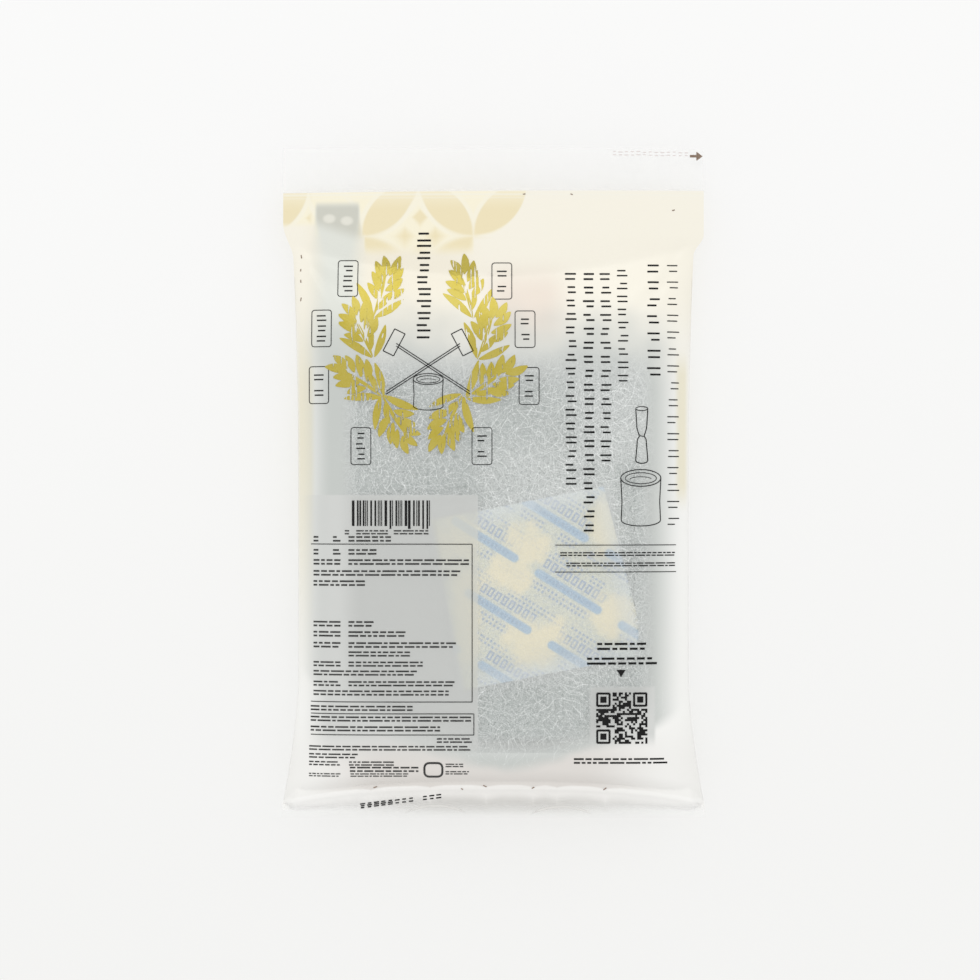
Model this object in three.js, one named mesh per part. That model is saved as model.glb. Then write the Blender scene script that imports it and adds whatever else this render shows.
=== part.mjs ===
// A sealed film bag of rice crackers, lying on its front with its printed back up.
//
// Millimetres. +X runs across the bag, +Y runs from the bottom seal to the header, and +Z
// is up, out of the printed back. The origin is on the floor under the middle of the bag.
//
// The filled bag is one closed solid. It is lofted from stations along the bag. Each
// station has an upper row of points for the back film and a lower row for the front film.
// The two films come together at the side edges, in the flat header flap at the +Y end,
// and in the bottom seam, from which a narrow fin leans up and out.
import * as THREE from 'three';

// Driving dimensions.
const BAG_LENGTH = 233.4;        // header edge to the free edge of the bottom fin
const FLAT_WIDTH = 147.2;        // where the film is still flat, at the header and the seam
const WAIST_WIDTH = 136.6;       // across the filled middle
const BODY_THICKNESS = 22.5;     // filled middle, floor to back film
const EDGE_HEIGHT = 10.5;        // side edges and header root above the floor
const FLAP_THICKNESS = 0.8;      // two films and the weld between them
const HEADER_LENGTH = 30.5;      // flat flap beyond the contents
const HEADER_SAG = 2.5;          // how far the header's edge hangs below its root
const TUCK_LENGTH = 7;           // along the bag, where the flat sides turn in
const TUCK_SHARE = 0.68;         // part of the width change that the tuck takes
const TAPER_LENGTH = 80;         // from the tuck down to the waist
const SHOULDER_LENGTH = 38;      // the films part from the header to their full depth
const SHOULDER_POWER = 1.6;      // how soon they part
const SIDE_POWER = 8;            // how square the section is
const SIDE_ROUNDING = 0.6;
const FRONT_PRESS = 1.08;        // the weight presses the front flat where the bag is fullest
const END_LENGTH = 7;            // the films close over the lower end of the contents
const FLARE_LENGTH = 42.5;       // the lower end widens back to the flat width
const FLARE_POWER = 1.5;
const SEAM_BOW = 6.4;            // the middle of the bottom seam is drawn in this far
const SEAM_BOW_LENGTH = 32.5;    // and the body follows it over this length
const SEAM_BOW_POWER = 3;
const SEAM_LIFT = 5;             // the middle of the seam above its ends
const FIN_WIDTH = 13;            // seam to free edge, measured along the film
const FIN_END_REACH = 4.2;       // how far the fin reaches outward at its two ends
const SACHET_SIZE = [63, 60.5];  // flat packet under the back film
const SACHET_PLACE = [16.6, -36.9];
const SACHET_TURN = THREE.MathUtils.degToRad(11);
const SACHET_LIFT = 2;           // how far it lifts the film
const SACHET_MARGIN = 4;         // width of the slope round it
const SACHET_POWER = 6;

// Number of quads along each stretch, and across.
const HEADER_STEPS = 4;
const TUCK_STEPS = 6;
const SHOULDER_STEPS = 8;
const BODY_STEPS = 20;
const END_STEPS = 8;
const FIN_STEPS = 2;
const CROSS_STEPS = 30;

// Places along the bag that follow from them.
const HEADER_EDGE_Y = BAG_LENGTH / 2;
const HEADER_ROOT_Y = HEADER_EDGE_Y - HEADER_LENGTH;
const TUCK_END_Y = HEADER_ROOT_Y - TUCK_LENGTH;
const SHOULDER_END_Y = HEADER_ROOT_Y - SHOULDER_LENGTH;
const FIN_EDGE_Y = (FLAP_THICKNESS - BAG_LENGTH) / 2;
const SEAM_END_Y = FIN_EDGE_Y + FIN_END_REACH;
const BODY_END_Y = SEAM_END_Y + END_LENGTH;

const clamp01 = value => THREE.MathUtils.clamp(value, 0, 1);
const smooth = value => THREE.MathUtils.smoothstep(value, 0, 1);

// Half of the bag's width at a place along it.
function halfWidth(y) {
  const extra = (FLAT_WIDTH - WAIST_WIDTH) / 2;
  const tuck = smooth((y - TUCK_END_Y) / TUCK_LENGTH);
  const taper = clamp01(1 - (TUCK_END_Y - y) / TAPER_LENGTH);
  const top = TUCK_SHARE * tuck + (1 - TUCK_SHARE) * taper ** 2;
  const flare = clamp01(1 - (y - SEAM_END_Y) / FLARE_LENGTH) ** FLARE_POWER;
  return WAIST_WIDTH / 2 + extra * (top + flare);
}

// How full the bag is along its length: 0 where the films meet, 1 over the contents.
function lengthwiseFill(y) {
  const fromHeader = clamp01((HEADER_ROOT_Y - y) / SHOULDER_LENGTH);
  const fromSeam = clamp01((y - SEAM_END_Y) / END_LENGTH);
  const shoulder = 1 - (1 - fromHeader) ** SHOULDER_POWER;
  const end = Math.sqrt(1 - (1 - fromSeam) ** 2);
  return shoulder * end;
}

// How full it is across: 1 over the contents, 0 at the side edges (side runs -1 to 1).
function crosswiseFill(side) {
  return (1 - Math.abs(side) ** SIDE_POWER) ** SIDE_ROUNDING;
}

// The sheet in which the two films meet: header, side edges and bottom seam.
function seamHeight(y, side) {
  const past = clamp01((y - HEADER_ROOT_Y) / HEADER_LENGTH);
  const nearSeam = smooth((SEAM_END_Y + SEAM_BOW_LENGTH - y) / SEAM_BOW_LENGTH);
  return EDGE_HEIGHT - HEADER_SAG * past ** 2 + SEAM_LIFT * nearSeam * (1 - side ** 2);
}

// The flat packet under the back film lifts it a little.
function sachetLift(x, y) {
  const place = new THREE.Vector2(x, y).sub(new THREE.Vector2(...SACHET_PLACE));
  place.rotateAround(new THREE.Vector2(), -SACHET_TURN);
  const across = clamp01(Math.abs(place.x) / (SACHET_SIZE[0] / 2 + SACHET_MARGIN));
  const along = clamp01(Math.abs(place.y) / (SACHET_SIZE[1] / 2 + SACHET_MARGIN));
  return SACHET_LIFT * (1 - across ** SACHET_POWER) * (1 - along ** SACHET_POWER);
}

// The points of the upper and the lower film at one station and one place across.
function bodyPair(stationY, side) {
  const nearSeam = smooth((SEAM_END_Y + SEAM_BOW_LENGTH - stationY) / SEAM_BOW_LENGTH);
  const x = side * halfWidth(stationY);
  const y = stationY + SEAM_BOW * nearSeam * (1 - Math.abs(side) ** SEAM_BOW_POWER);
  const seam = seamHeight(stationY, side);
  const fill = lengthwiseFill(stationY) * crosswiseFill(side);
  const back = seam + (BODY_THICKNESS - seam) * fill + sachetLift(x, y) * fill;
  const front = seam * Math.max(0, 1 - FRONT_PRESS * fill);
  const half = FLAP_THICKNESS / 2;
  return {
    upper: new THREE.Vector3(x, y, Math.max(back, seam + half)),
    lower: new THREE.Vector3(x, y, Math.min(front, seam - half)),
  };
}

// The same for the fin, between the seam (0) and its straight free edge (1).
function finPair(share, side) {
  const seam = bodyPair(SEAM_END_Y, side);
  const root = seam.upper.clone().add(seam.lower).multiplyScalar(0.5);
  const reach = root.y - FIN_EDGE_Y;
  const rise = Math.sqrt(FIN_WIDTH ** 2 - reach ** 2);
  const middle = root.add(new THREE.Vector3(0, -reach * share, rise * share));
  const normal = new THREE.Vector3(0, rise, reach).normalize();
  const offset = normal.multiplyScalar(FLAP_THICKNESS / 2);
  return { upper: middle.clone().add(offset), lower: middle.clone().sub(offset) };
}

// Places from start towards end, without the end itself.
function steps(start, end, count) {
  return Array.from({ length: count }, (unused, step) => start + (end - start) * step / count);
}

// Places that crowd towards the seam, where the film turns over fastest.
function endSteps() {
  const shares = Array.from({ length: END_STEPS + 1 }, (unused, step) => step / END_STEPS);
  return shares.map(share => SEAM_END_Y + END_LENGTH * (1 - share) ** 2);
}

// Places across the bag from one edge to the other, closer together near the edges.
function crossPlaces() {
  const angles = Array.from({ length: CROSS_STEPS + 1 }, (unused, step) => step / CROSS_STEPS);
  return angles.map(share => Math.sin(Math.PI * (share - 0.5)));
}

// Every station of the bag, as rows of point pairs from the header to the fin's edge.
function bagRows() {
  const places = [
    ...steps(HEADER_EDGE_Y, HEADER_ROOT_Y, HEADER_STEPS),
    ...steps(HEADER_ROOT_Y, TUCK_END_Y, TUCK_STEPS),
    ...steps(TUCK_END_Y, SHOULDER_END_Y, SHOULDER_STEPS),
    ...steps(SHOULDER_END_Y, BODY_END_Y, BODY_STEPS),
    ...endSteps(),
  ];
  const sides = crossPlaces();
  const rows = places.map(y => sides.map(side => bodyPair(y, side)));
  for (let step = 1; step <= FIN_STEPS; step += 1) {
    rows.push(sides.map(side => finPair(step / FIN_STEPS, side)));
  }
  return rows;
}

// One closed body from the rows: both films, the side edges and the two ends.
function closedLoft(rows) {
  const width = rows[0].length;
  const positions = rows.flat().flatMap(pair => [...pair.upper, ...pair.lower]);
  const index = [];
  const upper = (row, column) => 2 * (row * width + column);
  const lower = (row, column) => upper(row, column) + 1;
  const quad = (a, b, c, d) => index.push(a, b, c, a, c, d);
  for (let row = 0; row + 1 < rows.length; row += 1) {
    for (let column = 0; column + 1 < width; column += 1) {
      quad(
        upper(row, column), upper(row + 1, column),
        upper(row + 1, column + 1), upper(row, column + 1),
      );
      quad(
        lower(row, column), lower(row, column + 1),
        lower(row + 1, column + 1), lower(row + 1, column),
      );
    }
    const last = width - 1;
    quad(upper(row, 0), lower(row, 0), lower(row + 1, 0), upper(row + 1, 0));
    quad(upper(row, last), upper(row + 1, last), lower(row + 1, last), lower(row, last));
  }
  const end = rows.length - 1;
  for (let column = 0; column + 1 < width; column += 1) {
    quad(upper(0, column), upper(0, column + 1), lower(0, column + 1), lower(0, column));
    quad(upper(end, column), lower(end, column), lower(end, column + 1), upper(end, column + 1));
  }
  const geometry = new THREE.BufferGeometry();
  geometry.setAttribute('position', new THREE.Float32BufferAttribute(positions, 3));
  geometry.setIndex(index);
  geometry.computeVertexNormals();
  return geometry;
}

const milkyFilm = new THREE.MeshStandardMaterial({
  color: 0xe6e4da,
  roughness: 0.3,
  metalness: 0,
});

const bag = new THREE.Mesh(closedLoft(bagRows()), milkyFilm);
bag.name = 'bag';

const crackerBag = new THREE.Group();
crackerBag.add(bag);

export default crackerBag;
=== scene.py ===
"""Dresses a sealed bag of rice crackers that lies on its front with its back up.

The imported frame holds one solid, the filled bag. This script replaces it with the real
things: a bag of milky film with clear ends, the print on its back, a drying packet under
the film, and a tray of rice crackers wrapped in seaweed. Sizes are in millimetres, and
+X runs across the bag, +Y from the bottom seal to the header and +Z out of its back.
"""

import logging
import math
import random
from contextlib import contextmanager
from dataclasses import dataclass, field
from enum import Enum
from functools import reduce
from operator import add
from typing import Callable, Iterator, Optional, Sequence, Union

import bpy
import numpy as np
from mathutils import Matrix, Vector, noise


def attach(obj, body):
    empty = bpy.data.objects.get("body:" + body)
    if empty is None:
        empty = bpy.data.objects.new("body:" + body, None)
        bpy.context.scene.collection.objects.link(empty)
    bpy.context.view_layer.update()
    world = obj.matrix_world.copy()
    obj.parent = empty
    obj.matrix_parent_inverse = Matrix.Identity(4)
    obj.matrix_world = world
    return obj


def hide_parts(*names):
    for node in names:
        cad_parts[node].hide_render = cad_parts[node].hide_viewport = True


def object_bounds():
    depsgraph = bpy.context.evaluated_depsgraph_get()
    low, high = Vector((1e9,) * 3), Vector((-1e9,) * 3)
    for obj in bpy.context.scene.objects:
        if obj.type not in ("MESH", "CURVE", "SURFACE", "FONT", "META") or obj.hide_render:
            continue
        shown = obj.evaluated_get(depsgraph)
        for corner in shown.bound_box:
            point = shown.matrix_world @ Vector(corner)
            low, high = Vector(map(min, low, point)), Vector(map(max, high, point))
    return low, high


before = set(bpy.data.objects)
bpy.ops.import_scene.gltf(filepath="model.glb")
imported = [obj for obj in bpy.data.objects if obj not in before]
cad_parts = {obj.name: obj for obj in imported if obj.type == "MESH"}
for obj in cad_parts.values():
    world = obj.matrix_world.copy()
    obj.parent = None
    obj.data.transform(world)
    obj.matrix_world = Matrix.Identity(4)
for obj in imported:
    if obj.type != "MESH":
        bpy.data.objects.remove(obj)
CAD_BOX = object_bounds()

MM = 0.001
BODY = "root"
NODE = "bag"
SEWN_WITHIN = 0.004
ABOVE_BAG = 60.0

log = logging.getLogger("cracker_bag")

Thing = bpy.types.Object
Array = np.ndarray
Place = tuple[float, float]
Ramp = tuple[float, float]
Size = tuple[float, float, float]
Colour = tuple[float, float, float]
Socket = bpy.types.NodeSocket
Number = Union[float, int, "Value"]
Measure = Union[Array, "Value"]


class Slot(Enum):
    """The record's material slots."""

    FILM = "film"
    PRINT = "print"
    SACHET = "sachet"
    TRAY = "tray"
    CRACKER = "cracker"


class Sheet(Enum):
    """The two sheets of film that make the bag."""

    BACK = "back"
    FRONT = "front"


# --- Modelling by operators ---


def select_only(*things: Thing) -> None:
    """Selects some objects and nothing else.

    Args:
        *things: The objects, of which the first one becomes active.
    """
    bpy.ops.object.select_all(action="DESELECT")
    for thing in things:
        thing.select_set(True)
    bpy.context.view_layer.objects.active = things[0]


@contextmanager
def editing(thing: Thing, mode: str = "FACE", whole: bool = False) -> Iterator[None]:
    """Opens a mesh in edit mode and closes it again.

    Args:
        thing: The mesh object.
        mode: Kind of element that selections hold: VERT, EDGE or FACE.
        whole: Whether the whole mesh is selected first.

    Yields:
        Once, while the mesh is open.
    """
    select_only(thing)
    bpy.ops.object.mode_set(mode="EDIT")
    bpy.ops.mesh.select_mode(type=mode)
    if whole:
        bpy.ops.mesh.select_all(action="SELECT")
    yield
    bpy.ops.object.mode_set(mode="OBJECT")


def pick_nothing(mesh: bpy.types.Mesh) -> None:
    """Deselects all of a mesh that is in object mode."""
    for group in (mesh.vertices, mesh.edges, mesh.polygons):
        group.foreach_set("select", [False] * len(group))


def pick_faces(thing: Thing, rule: Callable[[Vector, Vector], bool]) -> None:
    """Selects the faces whose centre and normal fit a rule, ready for edit mode.

    Args:
        thing: The mesh object, in object mode.
        rule: Takes a face's centre in metres and its normal.
    """
    pick_nothing(thing.data)
    for face in thing.data.polygons:
        face.select = rule(face.center, face.normal)


def pick_edges(thing: Thing, rule: Callable[[Vector, Vector], bool]) -> None:
    """Selects the edges whose two ends fit a rule, ready for edit mode.

    Args:
        thing: The mesh object, in object mode.
        rule: Takes the places of the edge's two ends in metres.
    """
    mesh = thing.data
    pick_nothing(mesh)
    for edge in mesh.edges:
        first, second = (mesh.vertices[index].co for index in edge.vertices)
        edge.select = rule(first, second)


def apply_modifier(thing: Thing, kind: str, **settings: object) -> None:
    """Adds a modifier with its settings and applies it.

    Args:
        thing: The object to change.
        kind: Blender's name of the modifier's type.
        **settings: The modifier's own settings.
    """
    select_only(thing)
    bpy.ops.object.modifier_add(type=kind)
    modifier = thing.modifiers[-1]
    for name, value in settings.items():
        setattr(modifier, name, value)
    bpy.ops.object.modifier_apply(modifier=modifier.name)


def settle(thing: Thing) -> None:
    """Moves an object's place, turn and scale into its mesh."""
    select_only(thing)
    bpy.ops.object.transform_apply(location=True, rotation=True, scale=True)


def rename(thing: Thing, name: str) -> Thing:
    """Gives an object and its mesh one name and returns the object."""
    thing.name = thing.data.name = name
    return thing


def flat_grid(columns: int, rows: int, name: str) -> Thing:
    """Adds a flat grid that runs from -1 to 1 both ways, in metres, ready to be shaped."""
    bpy.ops.mesh.primitive_grid_add(x_subdivisions=columns, y_subdivisions=rows, size=2.0)
    return rename(bpy.context.active_object, name)


def box(name: str, size: Size, centre: Size = (0.0, 0.0, 0.0)) -> Thing:
    """Adds a box.

    Args:
        name: Its name.
        size: Its three sides in millimetres.
        centre: Its middle in millimetres.

    Returns:
        The box, with its size and place in its mesh.
    """
    bpy.ops.mesh.primitive_cube_add(size=1.0)
    thing = rename(bpy.context.active_object, name)
    thing.scale = tuple(length * MM for length in size)
    thing.location = tuple(place * MM for place in centre)
    settle(thing)
    return thing


def copy_of(thing: Thing) -> Thing:
    """Copies an object.

    Args:
        thing: The object.

    Returns:
        The copy, with its own mesh.
    """
    select_only(thing)
    bpy.ops.object.duplicate(linked=False)
    return bpy.context.active_object


def join(things: Sequence[Thing], name: str) -> Thing:
    """Joins several meshes into the first one.

    Args:
        things: The mesh objects, all of which the result takes in.
        name: Name of the result.

    Returns:
        The joined object.
    """
    select_only(*things)
    bpy.ops.object.join()
    return rename(bpy.context.active_object, name)


def sew(sheets: Sequence[Thing], name: str) -> Thing:
    """Joins sheets whose borders lie on each other into one closed and smooth bag.

    Args:
        sheets: The mesh objects.
        name: Name of the result.

    Returns:
        The closed mesh.
    """
    thing = join(sheets, name)
    with editing(thing, "VERT", whole=True):
        bpy.ops.mesh.remove_doubles(threshold=SEWN_WITHIN * MM)
        bpy.ops.mesh.normals_make_consistent(inside=False)
    smooth_shading(thing, 60.0)
    return thing


def points_of(thing: Thing) -> Array:
    """Reads a mesh's points.

    Args:
        thing: The mesh object.

    Returns:
        The points in millimetres, one row each.
    """
    flat = np.empty(len(thing.data.vertices) * 3)
    thing.data.vertices.foreach_get("co", flat)
    return flat.reshape(-1, 3) / MM


def move_points(thing: Thing, points: Array) -> None:
    """Puts the mesh's points at these places in millimetres."""
    thing.data.vertices.foreach_set("co", (points * MM).ravel())
    thing.data.update()


def smooth_shading(thing: Thing, angle: float) -> None:
    """Smooths a mesh's shading except over edges sharper than an angle in degrees."""
    select_only(thing)
    bpy.ops.object.shade_smooth_by_angle(angle=math.radians(angle))


# --- Measures ---


def ripple(points: Array, size: float, seed: float) -> Array:
    """Smooth noise, about -1 to 1, at points in millimetres, with bumps of this size."""
    return np.array([noise.noise(Vector(p) / size + Vector((seed, -seed, seed))) for p in points])


def smoothstep(value: Array, start: float, end: float) -> Array:
    """Rises smoothly from 0 at the start to 1 at the end."""
    share = np.clip((value - start) / (end - start), 0.0, 1.0)
    return share * share * (3.0 - 2.0 * share)


def turned(x: Measure, y: Measure, centre: Place, turn: float) -> tuple[Measure, Measure]:
    """Measures places from a centre along turned axes.

    Args:
        x: Place across the bag.
        y: Place along the bag.
        centre: Where the turned axes cross.
        turn: Their turn in degrees.

    Returns:
        The two measures along the turned axes.
    """
    across, along = x - centre[0], y - centre[1]
    cosine, sine = math.cos(math.radians(turn)), math.sin(math.radians(turn))
    return across * cosine + along * sine, along * cosine - across * sine


def ellipse(x: "Value", y: "Value", centre: Place, radii: Place) -> "Value":
    """Square of the distance from a centre as a share of the radii: 1 on the ellipse."""
    across, along = (x - centre[0]) / radii[0], (y - centre[1]) / radii[1]
    return across * across + along * along


# --- Shader expressions ---


def node_method(operation: str, reflected: bool = False) -> Callable[["Value", Number], "Value"]:
    """Makes a method that joins a value and another number by a Math node.

    Args:
        operation: The node's operation.
        reflected: Whether the other number comes first.

    Returns:
        The method.
    """

    def method(value: "Value", other: Number) -> "Value":
        """Adds the node and returns its result."""
        terms = (other, value) if reflected else (value, other)
        return value.shader.math(operation, *terms)

    return method


class Value:
    """A number socket on which Python's operators add Math nodes."""

    __add__ = node_method("ADD")
    __radd__ = node_method("ADD", reflected=True)
    __sub__ = node_method("SUBTRACT")
    __rsub__ = node_method("SUBTRACT", reflected=True)
    __mul__ = node_method("MULTIPLY")
    __rmul__ = node_method("MULTIPLY", reflected=True)
    __truediv__ = node_method("DIVIDE")
    __pow__ = node_method("POWER")
    at_least = node_method("MAXIMUM")
    at_most = node_method("MINIMUM")

    def __init__(self, shader: "Shader", socket: Socket) -> None:
        """Wraps one output socket of a shader."""
        self.shader = shader
        self.socket = socket

    def __abs__(self) -> "Value":
        """Size without sign."""
        return self.shader.math("ABSOLUTE", self)

    def rounded(self) -> "Value":
        """The nearest whole number."""
        return self.shader.math("ROUND", self)

    def root(self) -> "Value":
        """Square root."""
        return self.shader.math("SQRT", self)

    def sine(self) -> "Value":
        """Sine of an angle in radians."""
        return self.shader.math("SINE", self)

    def wrapped(self, half: float) -> "Value":
        """The number taken into the range from -half to half by whole periods."""
        return self.shader.math("WRAP", self, half, -half)

    def towards(self, other: Number, share: Number) -> "Value":
        """The number moved by this share of the way to another number."""
        return self + share * (other - self)

    def rising(self, start: Number, end: Number) -> "Value":
        """Rises smoothly from 0 to 1 between two numbers.

        Args:
            start: Where it is 0.
            end: Where it is 1.

        Returns:
            The share of the way from start to end.
        """
        made = self.shader.node(
            "ShaderNodeMapRange",
            {"interpolation_type": "SMOOTHSTEP"},
            {"Value": self, "From Min": start, "From Max": end},
        )
        return Value(self.shader, made.outputs["Result"])

    def within(self, low: float, high: float, soft: Number) -> "Value":
        """1 between two limits and 0 outside, over soft edges of this width."""
        half = soft * 0.5
        return self.rising(low - half, low + half) * self.rising(high + half, high - half)


class Shader:
    """One material and the nodes that are added to it."""

    def __init__(self, name: str) -> None:
        """Makes an empty material.

        Args:
            name: Its name.
        """
        self.material = bpy.data.materials.new(name)
        self.material.use_nodes = True
        self.tree = self.material.node_tree
        self.tree.nodes.clear()
        self._coordinates: Optional[Socket] = None

    def node(
        self,
        kind: str,
        settings: Optional[dict[str, object]] = None,
        inputs: Optional[dict[Union[str, int], object]] = None,
    ) -> bpy.types.Node:
        """Adds a node.

        Args:
            kind: The node's type.
            settings: Its own settings, set before its sockets.
            inputs: Values or links for its sockets, by name or number.

        Returns:
            The new node.
        """
        made = self.tree.nodes.new(kind)
        for name, value in (settings or {}).items():
            setattr(made, name, value)
        for key, value in (inputs or {}).items():
            source = value.socket if isinstance(value, Value) else value
            if isinstance(source, Socket):
                self.tree.links.new(source, made.inputs[key])
            else:
                made.inputs[key].default_value = source
        return made

    def math(self, operation: str, *terms: Number) -> Value:
        """Adds a Math node on up to three numbers and returns its result."""
        made = self.node("ShaderNodeMath", {"operation": operation}, dict(enumerate(terms)))
        return Value(self, made.outputs[0])

    def vector(self, operation: str, *terms: object) -> Socket:
        """Adds a Vector Math node on up to three vectors and returns its result's socket."""
        made = self.node("ShaderNodeVectorMath", {"operation": operation}, dict(enumerate(terms)))
        return made.outputs["Value" if operation == "DISTANCE" else "Vector"]

    def coordinates(self) -> Socket:
        """The place on the piece in its own frame.

        Returns:
            Its socket, in metres, which all patterns share.
        """
        if self._coordinates is None:
            self._coordinates = self.node("ShaderNodeTexCoord").outputs["Object"]
        return self._coordinates

    def place(self) -> tuple[Value, Value, Value]:
        """The place on the piece as three numbers in millimetres."""
        parts = self.node("ShaderNodeSeparateXYZ", inputs={"Vector": self.coordinates()})
        return tuple(Value(self, parts.outputs[axis]) * (1 / MM) for axis in "XYZ")

    def noise(
        self, size: float, detail: float = 2.0, seed: float = 0.0, flat: bool = False
    ) -> bpy.types.Node:
        """A noise texture.

        Args:
            size: Width of its features in millimetres.
            detail: Number of finer layers.
            seed: Shifts the pattern.
            flat: Whether it leaves out the height, which is quicker.

        Returns:
            The texture's node.
        """
        place = self.vector("ADD", self.coordinates(), (seed, 2 * seed, 3 * seed))
        return self.node(
            "ShaderNodeTexNoise",
            {"noise_dimensions": "2D" if flat else "3D"},
            {"Vector": place, "Scale": 1 / (size * MM), "Detail": detail},
        )

    def grain(
        self, size: float, detail: float = 2.0, seed: float = 0.0, flat: bool = False
    ) -> Value:
        """Noise as a number that runs from about -0.5 to 0.5, with the noise's settings."""
        return Value(self, self.noise(size, detail, seed, flat).outputs[0]) - 0.5

    def mix(self, share: Number, first: object, second: object) -> Socket:
        """A colour between two colours.

        Args:
            share: 0 gives the first colour and 1 the second.
            first: A colour or a colour socket.
            second: A colour or a colour socket.

        Returns:
            The mixed colour's socket.
        """
        colours = [(*c, 1.0) if isinstance(c, tuple) else c for c in (first, second)]
        made = self.node(
            "ShaderNodeMix", {"data_type": "RGBA"}, {0: share, 6: colours[0], 7: colours[1]}
        )
        return made.outputs[2]

    def bump(self, height: Value, depth: float, strength: float = 1.0) -> Socket:
        """A normal bent by a height.

        Args:
            height: The relief, in its own units.
            depth: Millimetres that one unit of it stands for.
            strength: Share of the effect.

        Returns:
            The normal's socket.
        """
        made = self.node(
            "ShaderNodeBump",
            inputs={"Height": height, "Distance": depth * MM, "Strength": strength},
        )
        return made.outputs["Normal"]

    def finish(self, **inputs: object) -> bpy.types.Material:
        """Ends the material in a Principled shader.

        Args:
            **inputs: Values or links of its sockets, spaces in their names written as _.

        Returns:
            The material.
        """
        named = {name.replace("_", " "): value for name, value in inputs.items()}
        colour = named.get("Base Color")
        if isinstance(colour, tuple):
            named["Base Color"] = (*colour, 1.0)
        shader = self.node("ShaderNodeBsdfPrincipled", inputs=named)
        self.node("ShaderNodeOutputMaterial", inputs={"Surface": shader.outputs[0]})
        return self.material


# --- The bag's form ---


@dataclass(frozen=True)
class BagForm:
    """The form of the filled bag, in millimetres, worked out from its driving sizes."""

    length: float
    flat_width: float
    waist_width: float = 136.6
    thickness: float = 22.5
    edge_height: float = 10.5
    header_length: float = 30.5
    header_sag: float = 2.5
    tuck_length: float = 7.0
    tuck_share: float = 0.68
    taper_length: float = 80.0
    shoulder_length: float = 38.0
    shoulder_power: float = 1.6
    root_softness: float = 0.25
    side_power: float = 8.0
    side_rounding: float = 0.6
    front_press: float = 1.08
    end_length: float = 7.0
    flare_length: float = 42.5
    flare_power: float = 1.5
    seam_bow: float = 6.4
    seam_bow_length: float = 32.5
    seam_bow_power: float = 3.0
    seam_lift: float = 5.0
    fin_width: float = 13.0
    fin_end_reach: float = 4.2
    left_tuck: Place = (77.5, 90.0)
    puckers: tuple[float, ...] = (-42.5, -22.0, -2.6, 13.7, 22.0, 38.7)
    lobe_rise: float = 5.0
    weld: float = 0.8
    gap: float = 0.3
    gap_share: float = 0.02

    @property
    def header_edge(self) -> float:
        """Place of the header's free edge."""
        return self.length / 2

    @property
    def header_root(self) -> float:
        """Where the filled part starts."""
        return self.header_edge - self.header_length

    @property
    def tuck_end(self) -> float:
        """Where the sides have turned in."""
        return self.header_root - self.tuck_length

    @property
    def fin_edge(self) -> float:
        """Place of the fin's free edge."""
        return (self.weld - self.length) / 2

    @property
    def seam_end(self) -> float:
        """Place of the bottom seam at the bag's two sides."""
        return self.fin_edge + self.fin_end_reach

    def half_width(self, y: Array) -> Array:
        """Half of the bag's width.

        Args:
            y: Places along the bag.

        Returns:
            The half width at each place.
        """
        extra = (self.flat_width - self.waist_width) / 2
        tuck = smoothstep(y, self.tuck_end, self.header_root)
        taper = np.clip(1 - (self.tuck_end - y) / self.taper_length, 0, 1)
        top = self.tuck_share * tuck + (1 - self.tuck_share) * taper**2
        flare = np.clip(1 - (y - self.seam_end) / self.flare_length, 0, 1)
        return self.waist_width / 2 + extra * (top + flare**self.flare_power)

    def fill_along(self, y: Array) -> Array:
        """How far the two films have parted along the bag.

        Args:
            y: Places along the bag.

        Returns:
            A share from 0 at the header and the seam to 1 over the contents.
        """
        from_header = np.clip((self.header_root - y) / self.shoulder_length, 0, 1)
        from_header = from_header**2 * (1 + self.root_softness) / (from_header + self.root_softness)
        from_seam = np.clip((y - self.seam_end) / self.end_length, 0, 1)
        shoulder = 1 - (1 - from_header) ** self.shoulder_power
        return shoulder * np.sqrt(1 - (1 - from_seam) ** 2)

    def fill_across(self, side: Array) -> Array:
        """How far they have parted across the bag, where side runs from -1 to 1."""
        return np.clip(1 - np.abs(side) ** self.side_power, 0, 1) ** self.side_rounding

    def near_seam(self, y: Array) -> Array:
        """Rises from 0 to 1 towards the bottom seam."""
        return smoothstep(-y, -(self.seam_end + self.seam_bow_length), -self.seam_end)

    def seam_line(self, y: Array, side: Array) -> tuple[Array, Array]:
        """The sheet in which the films meet.

        Args:
            y: Stations along the bag.
            side: Places across it, from -1 to 1.

        Returns:
            Its places along the bag and its heights.
        """
        near = self.near_seam(y)
        past = np.clip((y - self.header_root) / self.header_length, 0, 1)
        height = self.edge_height - self.header_sag * past**2
        height = height + self.seam_lift * near * (1 - side**2)
        bowed = y + self.seam_bow * near * (1 - np.abs(side) ** self.seam_bow_power)
        return bowed, height

    def bottom_seam(self, side: Array) -> tuple[Array, Array]:
        """The bottom seam's places along the bag and its heights."""
        return self.seam_line(np.full_like(side, self.seam_end), side)

    def half_gap(self, side: Array) -> Array:
        """Half of the gap between films that lie together, closed at the side edges."""
        return self.gap / 2 * np.clip((1 - np.abs(side)) / self.gap_share, 0, 1)

    def body(self, y: Array, side: Array, sheet: Sheet) -> Array:
        """Points of one sheet of film between the header's edge and the bottom seam.

        Args:
            y: Stations along the bag.
            side: Places across it, from -1 to 1.
            sheet: Which of the two films.

        Returns:
            The points, one row each.
        """
        place, seam = self.seam_line(y, side)
        fill = self.fill_along(y) * self.fill_across(side)
        half = self.half_gap(side)
        if sheet is Sheet.BACK:
            height = np.maximum(seam + (self.thickness - seam) * fill, seam + half)
        else:
            height = np.minimum(seam * np.maximum(0, 1 - self.front_press * fill), seam - half)
        return np.stack([side * self.half_width(self._tucked(y, side)), place, height], axis=1)

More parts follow.
